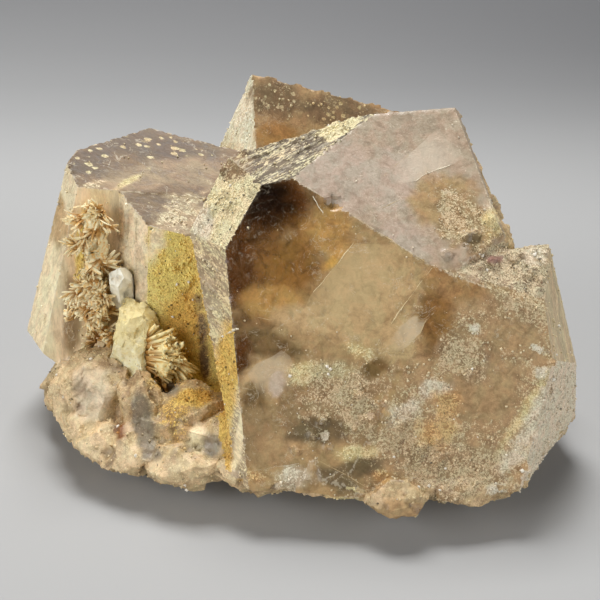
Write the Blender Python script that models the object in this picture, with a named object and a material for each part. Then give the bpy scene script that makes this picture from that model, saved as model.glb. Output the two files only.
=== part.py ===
"""A smoky quartz cluster: intergrown crystals on a broken base, with a pale green crystal,
a small white crystal and two sprays of cream blades sitting on the left crystal's face."""

import math
import random

import bmesh
import bpy
from mathutils import Matrix, Vector

MM = 0.001
SUTURE = 0.12        # step where two crystals share a face, mm
SOCKET_GROWTH = 0.56 # how far a socket's corners lie outside the mineral that sits in it, mm
BLANK = 400.0        # side of the block that each crystal is cut from, mm
REST_HEIGHT = -3.5   # the flat underside, mm
LUMP_FLOOR = -3.2    # lowest that a broken lump or a small crystal reaches, mm
RIM_HEIGHT = 6.0     # lower edge of the crystals' front faces, mm
MERGE = 0.002        # distance under which a corner lies on a cutting plane, mm
FLAT = 0.002         # angle under which two faces are one, radians
CORNER = 0.02        # the same for the corners of one convex lump, mm
LUMP_BITE = (0.80, 1.0)          # how far out a lump's fractures lie, as a share of its ellipsoid
LUMP_JITTER = 0.25               # how far a fracture's bearing strays, radians
PRISM_SIDES = (1.0, 0.86, 0.95)  # distances of a small crystal's sides, as shares of its radius
PRISM_RISES = (1.0, 0.78)        # slopes of its large and its small pyramid faces
PRISM_DROP = 0.385               # how far the small ones start below the tip, as a share of its radius
CRUST_CUTS = 8                   # fractures of a crust lump
CRUST_SQUASH = (0.7, 1.2)        # its half sizes, as shares of its size
CHIP_CUTS = 14
LEDGE_TAPER = 0.55               # width of a ledge at its end, as a share of its start
BLADE_TAPER = 0.45               # the same for a blade
BLADE_WIDTHS = (0.8, 1.3)        # half widths of the blades, mm
BLADE_THICKNESS = 0.45           # half thickness of the blades, mm
BLADE_LIFTS = (0.05, 0.8)        # how far a blade stands out from the face behind it

# Compass: 0 looks to the front (-Y), 90 to the right (+X), 180 to the back.
# Tilt: degrees that a face leans back to look upwards. Corners are in mm.
RIDGE_END = (28.3, -14.0, 50.0)
WINDOW_TOP = (-1.7, -2.6, 65.8)
WINDOW_CORNER = (-8.2, -2.9, 64.3)
WINDOW_SIDE = (-16.2, -9.0, 51.9)
WINDOW_FOOT = (-11.5, -32.0, 11.5)
MAIN_APEX = (33.4, 19.8, 75.5)
MAIN_CREST = (17.0, 14.3, 74.9)
BAND_TOP = (-15.9, 9.2, 66.1)
BAND_MIDDLE = (-24.5, 1.3, 51.8)
BLADE_FOOT = (-14.0, -29.2, 10.6)
STRIP_TOP = (36.0, 16.5, 72.3)
STRIP_FOOT = (44.0, -4.7, 53.8)

SHOULDER_CORNER = (52.2, -17.1, 42.3)
SHOULDER_BACK = (55.1, -2.0, 49.9)
SHOULDER_SIDE = (53.9, -22.3, 32.0)
SHOULDER_FOOT = (46.2, -36.0, 5.6)
SHOULDER_OUTER = (62.5, -8.0, 6.8)
SHOULDER_REAR_FOOT = (62.5, -2.0, 14.0)

LEFT_APEX = (-35.9, 31.0, 65.4)
LEFT_SHOULDER = (-54.5, 21.0, 60.2)
LEFT_STEP = (-42.9, 14.4, 56.1)
LEFT_BROW = (-34.4, 6.0, 51.0)
LEFT_FOOT = (-67.5, 18.0, 17.5)

BACK_APEX = (-11.3, 33.0, 78.5)
BACK_DIVIDE = (-10.4, 25.0, 64.0)
BACK_LEFT = (-19.8, 35.0, 58.3)
BACK_RIGHT = (21.3, 37.0, 68.6)

# Broken lumps: centre, half sizes, seed of the fracture directions, number of fractures.
FOOT_LUMPS = (
    ((-47.0, -3.0, 12.0), (11.5, 11.0, 11.0), 2, 26),
    ((-53.0, 7.0, 7.4), (9.5, 10.0, 7.5), 5, 20),
    ((-46.5, -8.0, 8.4), (10.0, 9.0, 4.6), 6, 22),
    ((-43.0, -13.5, 6.4), (9.0, 9.0, 4.8), 7, 22),
    ((-25.5, -11.5, 10.5), (8.5, 10.0, 9.0), 8, 24),
    ((-35.5, -16.0, 6.4), (11.0, 10.5, 5.0), 11, 24),
    ((-31.0, -6.0, 11.0), (10.0, 9.0, 7.0), 10, 22),
    ((-24.0, -21.0, 6.2), (13.0, 9.0, 4.8), 12, 24),
    ((-15.5, -20.5, 11.5), (5.0, 6.0, 6.5), 13, 18),
    ((-7.0, -26.4, 7.6), (13.0, 6.6, 4.2), 17, 24),
    ((3.0, -29.0, 8.2), (10.0, 6.0, 4.2), 18, 22),
    ((13.0, -31.0, 7.4), (12.0, 5.5, 3.6), 19, 22),
    ((20.5, -35.0, 6.4), (7.6, 5.8, 4.0), 23, 22),
    ((33.0, -31.5, 7.0), (13.0, 6.0, 3.6), 29, 24),
    ((43.0, -28.0, 7.4), (7.5, 8.0, 4.4), 31, 20),
    ((43.2, -36.6, 2.4), (3.8, 3.2, 2.4), 33, 14),
    ((-46.0, 26.0, 14.0), (15.0, 14.0, 12.0), 37, 26),
    ((-30.0, 36.0, 10.0), (16.0, 12.0, 9.0), 39, 24),
    ((-14.0, 42.0, 15.0), (17.0, 10.0, 13.0), 41, 26),
    ((12.0, 42.0, 13.0), (17.0, 9.5, 11.0), 43, 24),
    ((28.0, 37.0, 11.0), (14.0, 9.0, 9.0), 45, 22),
    ((38.0, 26.0, 14.0), (15.0, 12.0, 12.0), 47, 26),
    ((52.0, 4.0, 11.0), (9.0, 13.0, 8.5), 53, 22),
    ((48.0, 14.0, 20.0), (7.0, 8.0, 8.0), 57, 18),
)
# Smaller crystals: foot, tip, radius, spin about their own length.
SMALL_PRISMS = (
    ((-34.0, -17.0, 2.0), (-37.0, -8.0, 24.0), 4.6, 10),
    ((-22.0, -6.0, 4.0), (-28.5, -9.5, 19.0), 2.6, 25),
    ((18.0, 32.0, 12.0), (28.0, 53.0, 45.0), 9.0, 12),
    ((8.0, 36.0, 10.0), (10.0, 55.0, 27.0), 6.5, 33),
    ((-30.0, 30.0, 10.0), (-45.0, 49.0, 38.0), 8.5, 40),
    ((-48.0, 22.0, 10.0), (-61.0, 38.0, 25.0), 5.5, 8),
    ((-4.0, 40.0, 14.0), (-13.0, 55.5, 36.0), 6.0, 5),
    ((42.0, 12.0, 10.0), (57.0, 28.0, 35.0), 7.5, 20),
    ((40.0, 22.0, 8.0), (49.0, 42.0, 22.0), 5.0, 50),
)
ROOT_CENTRE = Vector((-1.0, 6.0, 11.0))
ROOT_REACH = (48.0, 33.0)
ROOT_TOP = 14.0
ROOT_SIDES = 14
ROOT_SLOPE = 10         # tilt of its sides, degrees
ROOT_EDGE = 3.0         # how far below its centre the undercut starts, mm
ROOT_UNDERCUT = -57     # tilt of the undercut, degrees
ROOT_STRAY = 7          # how far its bearings and the undercut stray, degrees
# Crust: three corners of a patch, lumps in it, smallest and largest lump, seed.
CRUST_PATCHES = (
    ((37.0, -12.0, 50.0), SHOULDER_CORNER, SHOULDER_BACK, 26, (0.5, 1.1), 101),
    (STRIP_FOOT, RIDGE_END, (42.0, 1.0, 60.0), 12, (0.5, 1.0), 102),
    (SHOULDER_SIDE, SHOULDER_FOOT, SHOULDER_OUTER, 16, (0.5, 1.1), 103),
    (WINDOW_CORNER, BAND_TOP, BAND_MIDDLE, 12, (0.5, 1.1), 104),
    (BAND_TOP, MAIN_CREST, (-4.0, 8.0, 68.0), 10, (0.4, 0.9), 105),
    ((-6.0, -31.0, 15.0), (40.0, -34.0, 12.0), (14.0, -26.0, 28.0), 24, (0.5, 1.0), 109),
    ((-21.0, 3.0, 42.0), (-31.0, 4.0, 46.0), (-24.0, -1.0, 22.0), 22, (0.5, 1.1), 110),
)
# Ledges: start, end, half width, half height, of the steps that striate the narrow faces.
LEDGES = (
    ((-7.0, -1.0, 64.9), (9.0, 8.5, 71.5), 0.7, 0.4),
    ((-9.5, 1.8, 65.3), (10.5, 11.0, 73.2), 0.8, 0.4),
    ((-12.0, 4.4, 65.6), (3.0, 9.6, 70.6), 0.7, 0.5),
    ((-13.5, 6.6, 66.2), (12.0, 13.2, 74.0), 0.6, 0.4),
    ((-22.4, -2.8, 48.0), (-16.4, -11.5, 46.0), 0.9, 0.5),
    ((-21.6, -5.2, 43.5), (-15.9, -14.0, 41.0), 0.8, 0.5),
    ((-20.8, -8.8, 39.0), (-15.4, -16.5, 36.6), 0.9, 0.5),
    ((-19.6, -12.6, 33.5), (-14.9, -19.6, 31.0), 0.8, 0.5),
    ((-18.4, -16.8, 28.0), (-14.1, -22.9, 25.6), 0.8, 0.5),
    ((-39.9, 11.6, 54.0), (-40.6, 9.6, 38.0), 0.8, 0.5),
    ((-37.4, 9.2, 52.0), (-38.1, 7.0, 36.0), 0.7, 0.5),
    ((-35.6, 7.4, 50.0), (-36.2, 5.2, 34.0), 0.6, 0.4),
)
# Chips: centre, half sizes, seed.
CHIPS = (
    ((7.4, -5.7, 61.4), (2.6, 1.7, 1.5), 201),
    ((47.0, -1.6, 52.2), (2.6, 2.2, 1.8), 203),
    ((58.6, -21.6, 22.0), (2.4, 3.0, 3.6), 204),
    ((50.6, -36.0, 16.0), (3.0, 2.6, 3.6), 205),
    ((-64.6, 12.0, 24.0), (3.6, 3.0, 2.6), 206),
    ((-58.0, 18.0, 52.0), (2.2, 2.6, 3.0), 207),
    ((-16.4, -22.0, 33.0), (1.6, 1.6, 2.6), 208),
    ((-14.6, -28.0, 22.0), (1.5, 1.6, 2.4), 209),
    ((27.0, 18.0, 77.4), (2.8, 2.4, 1.6), 210),
    ((41.6, 8.0, 68.0), (1.6, 2.2, 2.6), 211),
    ((-4.0, -36.6, 8.0), (3.6, 2.6, 2.0), 212),
    ((30.0, -40.0, 8.4), (3.4, 2.4, 1.8), 213),
    ((4.0, 50.0, 60.0), (4.0, 3.6, 4.0), 214),
    ((46.0, 20.0, 40.0), (4.0, 3.6, 4.0), 215),
)
GREEN_CENTRE = (-37.6, -1.4, 22.8)
# Compass, tilt and distance from the centre of the green block's faces.
GREEN_FACES = (
    (-24, 8, 4.4),
    (66, 4, 3.6),
    (-112, 2, 5.0),
    (156, 0, 5.0),
    (10, 80, 9.0),
    (0, -86, 9.4),
    (-20, 44, 7.4),
    (24, 26, 4.7),
    (-64, 22, 5.8),
    (-20, -46, 8.4),
    (70, 40, 7.0),
)
# Fans: number of blades, first and last angle, half sizes of the core that joins their feet.
SPRAY_SHAPE = (22, (-75, 55), (2.0, 1.8, 3.2))
TUFT_SHAPE = (9, (0, 360), (1.8, 1.6, 2.6))
SPRAY_CENTRE = (-33.6, -3.8, 23.0)
SPRAY_REACH = (7.0, 9.8)
WHITE_FOOT = (-41.2, 8.0, 29.0)
WHITE_TIP = (-41.6, 5.4, 41.6)
WHITE_RADIUS = 2.7
# Tufts: centre, shortest and longest blade.
TUFTS = (
    ((-47.0, 11.0, 51.0), (3.2, 5.0)),
    ((-49.0, 10.0, 44.0), (3.2, 5.0)),
    ((-48.6, 9.0, 37.0), (3.4, 5.4)),
    ((-51.0, 7.4, 30.0), (3.4, 5.4)),
    ((-46.0, 5.0, 24.0), (3.4, 5.6)),
)
# Fibrous mats that join the tufts: centre, half sizes.
TUFT_SEATS = (
    ((-48.0, 10.4, 43.5), (3.0, 1.9, 10.5)),
    ((-48.8, 7.4, 31.0), (3.4, 2.4, 9.5)),
)
FINISHES = {
    "smoky_quartz": ((0.42, 0.33, 0.24), 0.25),
    "pale_green_crystal": ((0.66, 0.66, 0.42), 0.55),
    "cream_blade_spray": ((0.80, 0.70, 0.50), 0.65),
    "cream_blade_tufts": ((0.76, 0.66, 0.50), 0.7),
    "white_crystal": ((0.80, 0.79, 0.76), 0.3),
}


def mm(point):
    return Vector(point) * MM


def facing(compass, tilt):
    """Unit vector that looks to a compass bearing and up by a tilt."""
    bearing = math.radians(compass)
    rise = math.radians(tilt)
    level = math.cos(rise)
    return Vector((math.sin(bearing) * level, -math.cos(bearing) * level, math.sin(rise)))


def slice_off(bm, point, normal):
    """Cut away what lies beyond a plane and close the cut."""
    cut = bmesh.ops.bisect_plane(
        bm, geom=bm.verts[:] + bm.edges[:] + bm.faces[:], dist=MERGE * MM,
        plane_co=point, plane_no=normal, clear_outer=True,
    )
    rim = [item for item in cut["geom_cut"] if isinstance(item, bmesh.types.BMEdge)]
    if len(rim) > 2:
        bmesh.ops.contextual_create(bm, geom=rim)


def hull_of(points):
    """The closed convex solid that spans a list of points."""
    bm = bmesh.new()
    for point in points:
        bm.verts.new(point)
    bmesh.ops.remove_doubles(bm, verts=bm.verts, dist=CORNER * MM)
    hull = bmesh.ops.convex_hull(bm, input=bm.verts)
    spare = [item for item in hull["geom_interior"] if isinstance(item, bmesh.types.BMVert)]
    bmesh.ops.delete(bm, geom=spare, context="VERTS")
    bmesh.ops.dissolve_limit(bm, angle_limit=FLAT, verts=bm.verts, edges=bm.edges)
    return bm


def put_convex(bm, name, collection):
    """Turn a solid that was cut only by planes into an object, free of slivers."""
    points = [corner.co.copy() for corner in bm.verts]
    bm.free()
    return put(hull_of(points), name, collection)


def put(bm, name, collection):
    bmesh.ops.recalc_face_normals(bm, faces=bm.faces)
    mesh = bpy.data.meshes.new(name)
    bm.to_mesh(mesh)
    bm.free()
    item = bpy.data.objects.new(name, mesh)
    collection.objects.link(item)
    if collection.name == "cutters":
        item.hide_render = True
        item.display_type = "WIRE"
    return item


def leaning(compass, tilt, corner):
    """A face that looks to a compass bearing and passes through a corner."""
    return mm(corner), facing(compass, tilt)


def along(first, second, compass):
    """A face that holds the edge between two corners and looks to a compass bearing."""
    run = Vector(second) - Vector(first)
    level = facing(compass, 0)
    tilt = math.degrees(math.atan(-level.dot(run) / run.z))
    return leaning(compass, tilt, first)


def through(first, second, third, compass):
    """A face that holds three corners, on the side that looks to a compass bearing."""
    normal = (Vector(second) - Vector(first)).cross(Vector(third) - Vector(first)).normalized()
    if normal.dot(facing(compass, 30)) < 0:
        normal.negate()
    return mm(first), normal


def inset(face, depth):
    """The same face, moved into the crystal by a depth."""
    point, normal = face
    return point - normal * depth * MM, normal


def floor_cut():
    return leaning(0, -89, (0.0, 0.0, RIM_HEIGHT))


def window_face():
    return through(RIDGE_END, WINDOW_TOP, WINDOW_FOOT, 0)


def lilac_face():
    return through(RIDGE_END, WINDOW_TOP, MAIN_APEX, 10)


def shoulder_front():
    return through(RIDGE_END, SHOULDER_CORNER, SHOULDER_FOOT, 0)


def left_top():
    return through(LEFT_APEX, LEFT_SHOULDER, LEFT_BROW, 3)


def main_faces():
    return (
        window_face(),
        lilac_face(),
        through(WINDOW_TOP, MAIN_CREST, BAND_TOP, -30),
        through(WINDOW_CORNER, WINDOW_SIDE, BAND_TOP, -40),
        through(WINDOW_SIDE, WINDOW_FOOT, BAND_MIDDLE, -50),
        inset(shoulder_front(), SUTURE),
        along(STRIP_TOP, STRIP_FOOT, 80),
        leaning(112, 6, (41.0, 12.0, 60.0)),
        leaning(40, 1.4, STRIP_FOOT),
        leaning(-160, 38, MAIN_APEX),
        along(BAND_TOP, MAIN_CREST, -165),
        along(BAND_MIDDLE, BAND_TOP, -120),
        along(BAND_MIDDLE, BLADE_FOOT, -95),
        leaning(172, 2, (10.0, 40.0, 30.0)),
        floor_cut(),
    )


def shoulder_faces():
    return (
        inset(window_face(), SUTURE),
        inset(lilac_face(), SUTURE),
        shoulder_front(),
        through(RIDGE_END, SHOULDER_CORNER, SHOULDER_BACK, 30),
        through(SHOULDER_CORNER, SHOULDER_BACK, SHOULDER_SIDE, 70),
        through(SHOULDER_SIDE, SHOULDER_FOOT, SHOULDER_OUTER, 55),
        along(SHOULDER_OUTER, SHOULDER_FOOT, 60),
        leaning(-162, 40, SHOULDER_BACK),
        along(SHOULDER_BACK, SHOULDER_REAR_FOOT, 112),
        leaning(178, 8, (40.0, 26.0, 40.0)),
        leaning(-90, 0, (4.0, 0.0, 20.0)),
        floor_cut(),
    )


def left_faces():
    return (
        left_top(),
        leaning(-3, 8, LEFT_STEP),
        along(LEFT_SHOULDER, LEFT_FOOT, -54),
        along(LEFT_SHOULDER, LEFT_FOOT, -112),
        leaning(-70, -48, LEFT_FOOT),
        leaning(-152, 34, LEFT_APEX),
        leaning(159, 34, LEFT_APEX),
        leaning(-176, -3, (-34.0, 44.0, 30.0)),
        leaning(90, 0, (-14.0, 0.0, 20.0)),
        floor_cut(),
    )


def left_front_faces():
    return (
        inset(left_top(), SUTURE),
        leaning(-45, 8, LEFT_BROW),
        leaning(-12, 9, LEFT_BROW),
        leaning(-90, 4, (-46.0, 16.0, 50.0)),
        leaning(178, 2, (-34.0, 26.0, 30.0)),
        leaning(90, 0, (-16.0, 0.0, 20.0)),
        floor_cut(),
    )


def back_faces():
    return (
        through(BACK_APEX, BACK_DIVIDE, BACK_RIGHT, 17),
        through(BACK_APEX, BACK_DIVIDE, BACK_LEFT, -54),
        along(BACK_APEX, BACK_LEFT, -125),
        along(BACK_APEX, BACK_RIGHT, 180),
        leaning(120, 6, (26.0, 36.0, 60.0)),
        leaning(176, -4, (0.0, 48.0, 30.0)),
        floor_cut(),
    )


def boulder(name, centre, radii, seed, cuts, collection):
    """A lump bounded by fractures that each touch one ellipsoid."""
    dice = random.Random(seed)
    angle = dice.uniform(0, math.tau)
    turn = Matrix.Rotation(angle, 3, facing(dice.uniform(0, 360), dice.uniform(-60, 60)))
    bm = bmesh.new()
    bmesh.ops.create_cube(bm, size=4 * max(radii) * MM)
    bmesh.ops.translate(bm, verts=bm.verts, vec=mm(centre))
    for step in range(cuts):
        height = 1 - 2 * (step + 0.5) / cuts
        around = step * math.pi * (3 - math.sqrt(5)) + dice.uniform(-LUMP_JITTER, LUMP_JITTER)
        level = math.sqrt(1 - height * height)
        normal = turn @ Vector((level * math.cos(around), level * math.sin(around), height))
        reach = Vector([radius * part for radius, part in zip(radii, normal)]).length
        slice_off(bm, mm(centre) + normal * reach * dice.uniform(*LUMP_BITE) * MM, normal)
    slice_off(bm, mm((0, 0, LUMP_FLOOR)), Vector((0, 0, -1)))
    return put_convex(bm, name, collection)


def root(collection):
    """The broken foot of the cluster, wide at mid height and undercut down to the flat underside."""
    bm = bmesh.new()
    bmesh.ops.create_cube(bm, size=BLANK * MM)
    slice_off(bm, mm((0, 0, ROOT_TOP)), Vector((0, 0, 1)))
    slice_off(bm, mm((0, 0, REST_HEIGHT)), Vector((0, 0, -1)))
    dice = random.Random(61)
    for step in range(ROOT_SIDES):
        compass = 360 * step / ROOT_SIDES + dice.uniform(-ROOT_STRAY, ROOT_STRAY)
        undercut = ROOT_UNDERCUT + dice.uniform(-ROOT_STRAY, ROOT_STRAY)
        look = facing(compass, 0)
        reach = Vector((look.x * ROOT_REACH[0], look.y * ROOT_REACH[1])).length
        side = look * reach + ROOT_CENTRE
        slice_off(bm, mm(side), facing(compass, ROOT_SLOPE))
        slice_off(bm, mm(side - Vector((0, 0, ROOT_EDGE))), facing(compass, undercut))
    return put_convex(bm, "root", collection)


def crystal(name, faces, collection):
    bm = bmesh.new()
    bmesh.ops.create_cube(bm, size=BLANK * MM)
    for point, normal in faces:
        slice_off(bm, point, normal)
    return put_convex(bm, name, collection)


def prism(name, foot, tip, radius, spin, collection):
    """A six-sided crystal between two points, ended by three large and three small pyramid faces."""
    axis = (Vector(tip) - Vector(foot)).normalized()
    side = axis.orthogonal().normalized()
    bm = bmesh.new()
    bmesh.ops.create_cube(bm, size=BLANK * MM)
    slice_off(bm, mm(foot), -axis)
    for step in range(6):
        look = Matrix.Rotation(math.radians(60 * step + spin), 3, axis) @ side
        slice_off(bm, mm(Vector(foot) + look * radius * PRISM_SIDES[step % 3]), look)
        rise = (look + axis * PRISM_RISES[step % 2]).normalized()
        slice_off(bm, mm(Vector(tip) - axis * radius * PRISM_DROP * (step % 2)), rise)
    slice_off(bm, mm((0, 0, LUMP_FLOOR)), Vector((0, 0, -1)))
    return put_convex(bm, name, collection)


def crust(patch, collection):
    """Small lumps scattered over a three-cornered patch of a face."""
    first, second, third, count, sizes, seed = patch
    dice = random.Random(seed)
    lumps = []
    for number in range(count):
        low, high = sorted((dice.random(), dice.random()))
        centre = Vector(first) * low + Vector(second) * (high - low) + Vector(third) * (1 - high)
        size = dice.uniform(*sizes)
        radii = [size * dice.uniform(*CRUST_SQUASH) for _ in range(3)]
        name = f"crust_{seed}_{number}"
        lumps.append(boulder(name, centre, radii, seed + number, CRUST_CUTS, collection))
    return lumps


def bar(name, start, end, half_width, half_height, taper, spin, collection):
    """A thin four-sided bar that tapers from one point to another."""
    run = Vector(end) - Vector(start)
    bm = bmesh.new()
    bmesh.ops.create_cone(bm, cap_ends=True, segments=4, radius1=1.0, radius2=taper, depth=1.0)
    turn = run.to_track_quat("Z", "Y").to_matrix().to_4x4()
    roll = Matrix.Rotation(math.radians(spin), 4, "Z")
    size = Matrix.Diagonal((half_width, half_height, run.length, 1.0))
    place = Matrix.Translation((Vector(start) + Vector(end)) / 2)
    bmesh.ops.transform(bm, matrix=Matrix.Scale(MM, 4) @ place @ turn @ roll @ size, verts=bm.verts)
    return put(bm, name, collection)


def ledge(number, start, end, half_width, half_height, collection):
    """A thin step that runs from one point of a face to another."""
    return bar(f"ledge_{number}", start, end, half_width, half_height, LEDGE_TAPER, 0, collection)


def boolean(target, operation, others):
    """Apply one exact Boolean of a group of solids to a solid, and drop the group."""
    group = bpy.data.collections.new(target.name + "_group")
    for item in others:
        group.objects.link(item)
    step = target.modifiers.new(operation.lower(), "BOOLEAN")
    step.operation = operation
    step.solver = "EXACT"
    step.operand_type = "COLLECTION"
    step.collection = group
    mesh = bpy.data.meshes.new_from_object(target.evaluated_get(bpy.context.evaluated_depsgraph_get()))
    target.modifiers.clear()
    target.data = mesh
    for item in others:
        bpy.data.objects.remove(item, do_unlink=True)
    bpy.data.collections.remove(group)


def islands(bm):
    """Groups of corners that edges join."""
    waiting = set(bm.verts)
    groups = []
    while waiting:
        front = [waiting.pop()]
        group = set(front)
        while front:
            corner = front.pop()
            for edge in corner.link_edges:
                other = edge.other_vert(corner)
                if other in waiting:
                    waiting.discard(other)
                    group.add(other)
                    front.append(other)
        groups.append(group)
    return groups


def settle(target):
    """Keep the largest body and leave plain triangles."""
    bm = bmesh.new()
    bm.from_mesh(target.data)
    groups = sorted(islands(bm), key=len)
    for group in groups[:-1]:
        bmesh.ops.delete(bm, geom=list(group), context="VERTS")
    bmesh.ops.triangulate(bm, faces=bm.faces)
    bmesh.ops.recalc_face_normals(bm, faces=bm.faces)
    bm.to_mesh(target.data)
    bm.free()


def socket(mineral, collection):
    """The hull of a mineral grown by the gap, to clear a place for it."""
    bm = hull_of([corner.co for corner in mineral.data.vertices])
    centre = sum((corner.co for corner in bm.verts), Vector()) / len(bm.verts)
    for corner in bm.verts:
        outward = corner.co - centre
        corner.co += outward.normalized() * SOCKET_GROWTH * MM
    return put(bm, mineral.name + "_socket", collection)


def quartz_cluster(cutters):
    parts = bpy.data.collections["smoky_quartz_cluster"]
    cluster = crystal("smoky_quartz", main_faces(), parts)
    growth = [
        crystal("shoulder", shoulder_faces(), cutters),
        crystal("left", left_faces(), cutters),
        crystal("left_front", left_front_faces(), cutters),
        crystal("back", back_faces(), cutters),
        root(cutters),
    ]
    for number, (foot, tip, radius, spin) in enumerate(SMALL_PRISMS):
        growth.append(prism(f"prism_{number}", foot, tip, radius, spin, cutters))
    for number, (centre, radii, seed, cuts) in enumerate(FOOT_LUMPS):
        growth.append(boulder(f"lump_{number}", centre, radii, seed, cuts, cutters))
    boolean(cluster, "UNION", growth)
    chips = [
        boulder(f"chip_{seed}", centre, radii, seed, CHIP_CUTS, cutters)
        for centre, radii, seed in CHIPS
    ]
    boolean(cluster, "DIFFERENCE", chips)
    relief = [ledge(number, *values, cutters) for number, values in enumerate(LEDGES)]
    for patch in CRUST_PATCHES:
        relief += crust(patch, cutters)
    boolean(cluster, "UNION", relief)
    return cluster


def green_crystal(collection):
    """A pale green block with bevelled edges, wedged between the left crystal's two front faces."""
    body = [
        leaning(compass, tilt, Vector(GREEN_CENTRE) + facing(compass, tilt) * reach)
        for compass, tilt, reach in GREEN_FACES
    ]
    return crystal("pale_green_crystal", body, collection)


def fan(name, centre, seat, reach, shape, seed, collection):
    """Blades that stand out from one centre over a seat face, joined at their feet.

    Angles run from the right (0) towards the top (90), as seen from outside the seat.
    """
    count, (start, end), core = shape
    dice = random.Random(seed)
    right = Vector((0, 0, 1)).cross(seat).normalized()
    cluster = boulder(name, centre, core, seed, CHIP_CUTS, collection)
    blades = []
    for number in range(count):
        angle = start + (end - start) * (number + dice.random()) / count
        turn = Matrix.Rotation(math.radians(angle), 3, seat)
        look = (turn @ right + seat * dice.uniform(*BLADE_LIFTS)).normalized()
        tip = Vector(centre) + look * dice.uniform(*reach)
        width = dice.uniform(*BLADE_WIDTHS)
        spin = dice.uniform(0, 90)
        label = f"{name}_{number}"
        blades.append(bar(label, centre, tip, width, BLADE_THICKNESS, BLADE_TAPER, spin, collection))
    boolean(cluster, "UNION", blades)
    return cluster


def blade_spray(parts):
    return fan("cream_blade_spray", SPRAY_CENTRE, facing(-12, 9), SPRAY_REACH, SPRAY_SHAPE, 301, parts)


def blade_tufts(parts, cutters):
    seat = facing(-28, 10)
    others = [
        fan(f"tuft_{number}", centre, seat, reach, TUFT_SHAPE, 321 + number, cutters)
        for number, (centre, reach) in enumerate(TUFTS[1:])
    ]
    for number, (centre, radii) in enumerate(TUFT_SEATS):
        others.append(boulder(f"seat_{number}", centre, radii, 340 + number, 18, cutters))
    centre, reach = TUFTS[0]
    tufts = fan("cream_blade_tufts", centre, seat, reach, TUFT_SHAPE, 320, parts)
    boolean(tufts, "UNION", others)
    return tufts


def white_crystal(parts):
    return prism("white_crystal", WHITE_FOOT, WHITE_TIP, WHITE_RADIUS, 15, parts)


def finish(item):
    colour, roughness = FINISHES[item.name]
    material = bpy.data.materials.new(item.name)
    material.use_nodes = True
    shader = material.node_tree.nodes["Principled BSDF"]
    shader.inputs["Base Color"].default_value = (*colour, 1.0)
    shader.inputs["Roughness"].default_value = roughness
    shader.inputs["Metallic"].default_value = 0.0
    item.data.materials.clear()
    item.data.materials.append(material)


def centre_on_floor(items):
    """Move everything so that the origin is below the middle of the whole, on the floor."""
    corners = [item.matrix_world @ corner.co for item in items for corner in item.data.vertices]
    low = Vector([min(corner[axis] for corner in corners) for axis in range(3)])
    high = Vector([max(corner[axis] for corner in corners) for axis in range(3)])
    shift = Vector((-(low.x + high.x) / 2, -(low.y + high.y) / 2, -low.z))
    for item in items:
        item.data.transform(Matrix.Translation(shift))
    return shift


def main():
    for item in list(bpy.data.objects):
        bpy.data.objects.remove(item, do_unlink=True)
    parts = bpy.data.collections.new("smoky_quartz_cluster")
    cutters = bpy.data.collections.new("cutters")
    bpy.context.scene.collection.children.link(parts)
    bpy.context.scene.collection.children.link(cutters)
    cluster = quartz_cluster(cutters)
    green = green_crystal(parts)
    white = white_crystal(parts)
    spray = blade_spray(parts)
    tufts = blade_tufts(parts, cutters)
    boolean(spray, "DIFFERENCE", [socket(green, cutters)])
    boolean(tufts, "DIFFERENCE", [socket(green, cutters), socket(white, cutters)])
    boolean(white, "DIFFERENCE", [socket(green, cutters)])
    for item in (green, white, spray, tufts):
        boolean(cluster, "DIFFERENCE", [socket(item, cutters)])
    everything = [cluster, green, white, spray, tufts]
    for item in everything:
        settle(item)
        finish(item)
    return centre_on_floor(everything)


LAYOUT_SHIFT = main()
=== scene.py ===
import math

import bmesh
import bpy
import numpy as np
from mathutils import Matrix, Vector
from mathutils.bvhtree import BVHTree
from mathutils.kdtree import KDTree


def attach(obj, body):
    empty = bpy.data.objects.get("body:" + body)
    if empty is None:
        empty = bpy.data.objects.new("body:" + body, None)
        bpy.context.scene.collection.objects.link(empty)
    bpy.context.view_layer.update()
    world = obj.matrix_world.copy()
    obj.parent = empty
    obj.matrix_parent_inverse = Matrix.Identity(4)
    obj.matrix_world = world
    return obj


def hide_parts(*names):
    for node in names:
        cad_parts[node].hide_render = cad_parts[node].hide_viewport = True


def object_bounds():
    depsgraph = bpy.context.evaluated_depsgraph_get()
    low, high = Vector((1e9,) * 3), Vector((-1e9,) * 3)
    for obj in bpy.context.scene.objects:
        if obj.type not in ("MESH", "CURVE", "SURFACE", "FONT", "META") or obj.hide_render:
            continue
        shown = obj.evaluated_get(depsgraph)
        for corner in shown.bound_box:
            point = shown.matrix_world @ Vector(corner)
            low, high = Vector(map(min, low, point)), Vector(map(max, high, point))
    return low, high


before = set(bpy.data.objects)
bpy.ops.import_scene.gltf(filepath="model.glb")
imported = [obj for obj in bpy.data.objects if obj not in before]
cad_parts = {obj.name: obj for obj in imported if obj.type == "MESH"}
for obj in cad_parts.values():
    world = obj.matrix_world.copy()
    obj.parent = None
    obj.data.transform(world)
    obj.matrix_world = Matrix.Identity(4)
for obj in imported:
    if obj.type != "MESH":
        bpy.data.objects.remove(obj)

CAD_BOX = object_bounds()

bl_info = {
    "name": "Smoky quartz cluster",
    "version": (1, 0, 0),
    "blender": (4, 5, 0),
    "location": "View3D > Sidebar > Quartz",
    "description": "Dresses a smoky quartz cluster with its crust, clay, blades and inner veils",
    "category": "Add Mesh",
}

MM = 0.001
SHIFT = (1.323, -7.731, 3.5)     # from the crystals' own layout to the frame, mm
LIFT = 1.35                      # above 1, every tone of the cluster is paler
QUARTZ_INDEX = 1.544             # refractive index of quartz

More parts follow.
